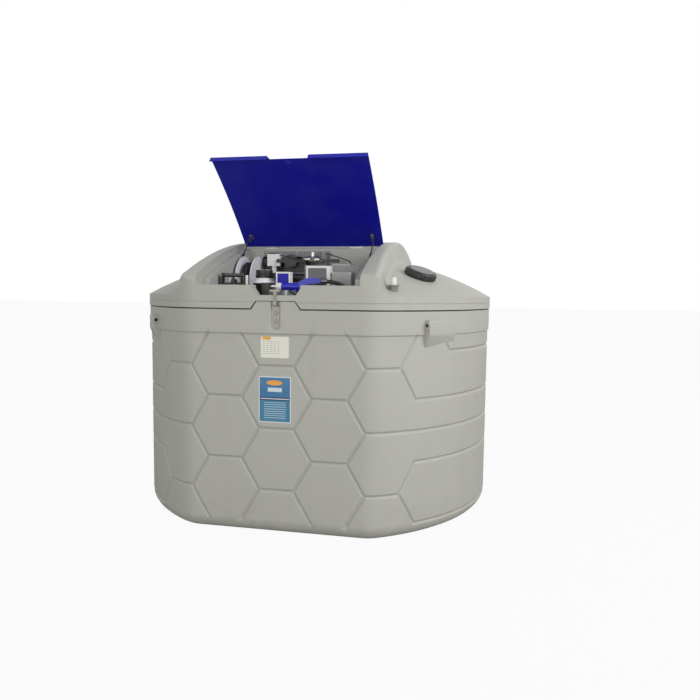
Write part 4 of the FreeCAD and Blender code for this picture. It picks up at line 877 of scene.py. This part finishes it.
# Screws as (radius, how many, first place, step to the right), and what the boxes carry
boxSizes = {
    "screws": (
        (0.0030, 2, (0.0905, -0.6965, 1.4535), 0.139), (0.0030, 2, (0.0905, -0.6965, 1.5885), 0.139),
        (0.0034, 2, (0.252, -0.6985, 1.4500), 0.108), (0.0034, 2, (0.252, -0.6985, 1.5500), 0.108),
        (0.0040, 3, (0.075, -0.6385, 1.330), 0.150), (0.0040, 5, (-0.325, -0.2565, 1.532), 0.107),
        (0.0040, 5, (-0.325, -0.2565, 1.698), 0.107), (0.0026, 2, (-0.086, -0.7605, 1.4842), 0.080)),
    "buttons": 4, "button": 0.0045, "buttonStart": (0.115, -0.6960, 1.4545), "buttonStep": 0.026,
    "lamp": 0.003, "lampPlace": (0.214, -0.6960, 1.4545),
    "slots": 9, "slot": (0.072, 0.0012, 0.0035), "slotStart": (0.292, -0.6341, 1.475), "slotStep": 0.012,
    "glands": 3, "glandStart": (0.272, -0.668, 1.4405), "glandStep": 0.034,
    "bolts": 6, "bolt": 0.0042, "boltCircle": 0.0355, "boltPlace": (-0.103, -0.3875, 1.638),
}


def makeBoxDress():
    sizes = boxSizes
    for radius, count, start, step in sizes["screws"]:
        repeat(screwForm(radius, "Y"), steel, "tank", "steel", count, start=start, step=(step, 0, 0))
    button = discForm(sizes["button"], 0.003, "Y")
    repeat(button, capTop, "tank", "white_plastic", sizes["buttons"], start=sizes["buttonStart"],
           step=(sizes["buttonStep"], 0, 0))
    addBits("tank", "white_plastic", amberLens, discForm(sizes["lamp"], 0.002, "Y"),
            Matrix.Translation(sizes["lampPlace"]))
    # painted shade: thin black bars stand for the shaded openings of the vent slots
    slot = boxForm(sizes["slot"], (0, 0, 0))
    repeat(slot, darkHole, "tank", "grey_plastic", sizes["slots"], start=sizes["slotStart"],
           step=(0, 0, sizes["slotStep"]))
    gland = latheForm([(0.004, 0), (0.010, 0), (0.010, 0.008), (0.0075, 0.016), (0.004, 0.016)], 12)
    bmesh.ops.rotate(gland, verts=gland.verts, matrix=Matrix.Rotation(math.pi, 3, "X"))
    repeat(gland, blackPlastic, "tank", "black_plastic", sizes["glands"], start=sizes["glandStart"],
           step=(sizes["glandStep"], 0, 0))
    bolt = screwForm(sizes["bolt"], "Y")
    bmesh.ops.translate(bolt, vec=(0, 0, sizes["boltCircle"]), verts=bolt.verts)
    repeat(bolt, steel, "tank", "steel", sizes["bolts"], turn=(0, 2 * math.pi / sizes["bolts"], 0),
           matrix=Matrix.Translation(sizes["boltPlace"]))


# Domed top and finger ribs of the breather's cap
breatherSizes = {
    "place": (-0.187, -0.700, 1.5666),
    "dome": ((0.045, -0.001), (0.043, 0.002), (0.030, 0.004)), "domeHigh": 0.0045,
    "ribs": 28, "rib": (0.004, 0.005, 0.018), "ribRadius": 0.0525, "ribDown": 0.036,
}


def makeBreatherDress():
    sizes = breatherSizes
    stand = Matrix.Translation(sizes["place"])
    dome = latheForm([(0, sizes["dome"][0][1]), *sizes["dome"], (0, sizes["domeHigh"])])
    addBits("breather_cap", "black_plastic", greyPlastic, dome, stand)
    rib = boxForm(sizes["rib"], (sizes["ribRadius"], 0, -sizes["ribDown"]), 0.0008)
    repeat(rib, blackPlastic, "breather_cap", "black_plastic", sizes["ribs"],
           turn=(0, 0, 2 * math.pi / sizes["ribs"]), matrix=stand)


# Thin cables, each a list of points in metres
cableFacts = {
    "radius": 0.0032,
    "routes": (
        [(-0.272, -0.330, 1.688), (-0.272, -0.356, 1.692), (-0.150, -0.420, 1.670), (-0.010, -0.500, 1.635),
         (0.085, -0.600, 1.590), (0.100, -0.642, 1.572)],
        [(-0.205, -0.386, 1.604), (-0.200, -0.430, 1.560), (-0.060, -0.520, 1.600), (0.080, -0.590, 1.595),
         (0.110, -0.642, 1.580)],
        [(0.272, -0.668, 1.426), (0.270, -0.672, 1.360), (0.250, -0.560, 1.318), (0.140, -0.400, 1.310)],
        [(0.306, -0.668, 1.426), (0.306, -0.668, 1.350), (0.330, -0.560, 1.318), (0.310, -0.330, 1.312)],
        [(0.340, -0.668, 1.426), (0.342, -0.660, 1.360), (0.395, -0.560, 1.318), (0.400, -0.330, 1.312)],
        [(0.340, -0.600, 1.606), (0.345, -0.560, 1.624), (0.240, -0.450, 1.656), (0.115, -0.335, 1.694)]),
}


def makeCables():
    curve = bpy.data.curves.new("cables", "CURVE")
    curve.dimensions = "3D"
    curve.bevel_depth = cableFacts["radius"]
    curve.bevel_resolution = 2
    curve.resolution_u = 6
    curve.use_fill_caps = True
    for route in cableFacts["routes"]:
        spline = curve.splines.new("NURBS")
        spline.points.add(len(route) - 1)
        for point, place in zip(spline.points, route):
            point.co = (*place, 1)
        spline.order_u = 3
        spline.use_endpoint_u = True
    host = bpy.data.objects.new("cables", curve)
    bpy.context.scene.collection.objects.link(host)
    bpy.context.view_layer.update()
    mesh = bpy.data.meshes.new_from_object(host.evaluated_get(bpy.context.evaluated_depsgraph_get()))
    bpy.data.objects.remove(host)
    whole = bmesh.new()
    whole.from_mesh(mesh)
    addBits("tank", "seal_rubber", sealRubber, whole)


# Ribs on the nozzle's collar and the sleeve that grips the hose
nozzleSizes = {
    "ribs": 20, "rib": (0.030, 0.003, 0.002), "ribRadius": 0.0202, "collar": (-0.029, -0.880, 1.466),
    "sleeve": ((0.0118, 0), (0.0150, 0), (0.0158, 0.004), (0.0140, 0.034), (0.0118, 0.036)),
    "sleevePlace": (0.2285, -0.880, 1.4985),
}


def makeNozzleDress():
    sizes = nozzleSizes
    rib = boxForm(sizes["rib"], (0, 0, sizes["ribRadius"]), 0.0006)
    repeat(rib, whitePlastic, "tank", "white_plastic", sizes["ribs"],
           turn=(2 * math.pi / sizes["ribs"], 0, 0), matrix=Matrix.Translation(sizes["collar"]))
    sleeve = latheForm(sizes["sleeve"], 24, "X")
    addBits("tank", "steel", darkSteel, sleeve, Matrix.Translation(sizes["sleevePlace"]))


# Raised rims round the two holes of the hasp's plate
haspSizes = {
    "rim": ((0.0085, 0), (0.0125, 0), (0.0115, 0.0015), (0.0095, 0.0015)), "plateThick": 0.003,
    "low": 1.215, "length": 0.147, "shares": (0.34, 0.66),
}


def makeHaspDress():
    sizes = haspSizes
    front = wallSizes["recessDepth"] - wallSizes["front"] - wallSizes["bandProud"] - sizes["plateThick"]
    for share in sizes["shares"]:
        height = sizes["low"] + sizes["length"] * share
        rim = latheForm(sizes["rim"], 24, "Y")
        addBits("tank", "steel", dullSteel, rim, Matrix.Translation((0, front, height)))


makeMotorDress()
makePipeRibs()
makeBoxDress()
makeBreatherDress()
makeCables()
makeNozzleDress()
makeHaspDress()
joinBits()
print("fittings dressed")

# Floor, light and camera
studio = {
    "cameraPlace": (1.2516, -4.7675, 1.4454), "cameraYaw": 12.28, "cameraPitch": 4.98, "cameraRoll": 0.63,
    "lens": 35.0, "worldLight": 0.425, "keyPower": 220, "keyPlace": (5.4, -2.6, 4.1), "keySize": 3.5,
    "fillPower": 118, "fillPlace": (-0.8, -7.0, 1.4), "fillSize": 4.0, "lampTarget": (0, 0, 0.9),
    "floorHalf": 60, "floorGlow": 0.94,
}


def makeFloor():
    mesh = bpy.data.meshes.new("floor")
    half = studio["floorHalf"]
    corners = [(-half, -half, 0), (half, -half, 0), (half, half, 0), (-half, half, 0)]
    mesh.from_pydata(corners, [], [(0, 1, 2, 3)])
    floor = bpy.data.objects.new("floor", mesh)
    bpy.context.scene.collection.objects.link(floor)
    surface = Surface("floorPale", linear(226, 226, 224), 0.7)
    grain = surface.noise(3, 3.0, 0.5)
    surface.feed(colour=surface.mix(grain * 0.2, linear(178, 178, 176), linear(170, 170, 168)))
    glow = surface.nodes.new("ShaderNodeEmission")
    blend = surface.nodes.new("ShaderNodeMixShader")
    seen = surface.node("ShaderNodeLightPath") * studio["floorGlow"]
    surface.links.new(seen.socket, blend.inputs[0])
    surface.links.new(surface.shader.outputs[0], blend.inputs[1])
    surface.links.new(glow.outputs[0], blend.inputs[2])
    surface.links.new(blend.outputs[0], surface.nodes["Material Output"].inputs["Surface"])
    mesh.materials.append(surface.material)


def makeWorld():
    world = bpy.data.worlds.new("studio")
    world.use_nodes = True
    bpy.context.scene.world = world
    nodes = world.node_tree.nodes
    links = world.node_tree.links
    nodes["Background"].inputs["Color"].default_value = (1, 1, 1, 1)
    nodes["Background"].inputs["Strength"].default_value = studio["worldLight"]
    seen = nodes.new("ShaderNodeBackground")
    seen.inputs["Color"].default_value = (1, 1, 1, 1)
    path = nodes.new("ShaderNodeLightPath")
    blend = nodes.new("ShaderNodeMixShader")
    seenBy = path.outputs["Is Camera Ray"]
    for ray in ("Is Glossy Ray", "Is Transmission Ray"):
        either = nodes.new("ShaderNodeMath")
        either.operation = "MAXIMUM"
        links.new(seenBy, either.inputs[0])
        links.new(path.outputs[ray], either.inputs[1])
        seenBy = either.outputs[0]
    links.new(seenBy, blend.inputs[0])
    links.new(nodes["Background"].outputs[0], blend.inputs[1])
    links.new(seen.outputs[0], blend.inputs[2])
    links.new(blend.outputs[0], nodes["World Output"].inputs["Surface"])


def makeLamp(name):
    lamp = bpy.data.lights.new(f"{name}Lamp", "AREA")
    lamp.energy = studio[f"{name}Power"]
    lamp.size = studio[f"{name}Size"]
    item = bpy.data.objects.new(f"{name}Lamp", lamp)
    bpy.context.scene.collection.objects.link(item)
    place = Vector(studio[f"{name}Place"])
    item.location = place
    item.rotation_euler = (Vector(studio["lampTarget"]) - place).to_track_quat("-Z", "Y").to_euler()


def makeCamera():
    camera = bpy.data.cameras.new("camera")
    camera.lens = studio["lens"]
    camera.sensor_width = 36
    camera.sensor_fit = "HORIZONTAL"
    camera.clip_end = 200
    item = bpy.data.objects.new("camera", camera)
    bpy.context.scene.collection.objects.link(item)
    yaw, pitch, roll = [math.radians(studio[key]) for key in ("cameraYaw", "cameraPitch", "cameraRoll")]
    turn = (Matrix.Rotation(yaw, 4, "Z") @ Matrix.Rotation(math.pi / 2 - pitch, 4, "X")
            @ Matrix.Rotation(roll, 4, "Z"))
    item.matrix_world = Matrix.Translation(studio["cameraPlace"]) @ turn
    bpy.context.scene.camera = item


makeFloor()
makeWorld()
makeLamp("key")
makeLamp("fill")
makeCamera()
bpy.context.scene.view_settings.view_transform = "Standard"
print("studio set")
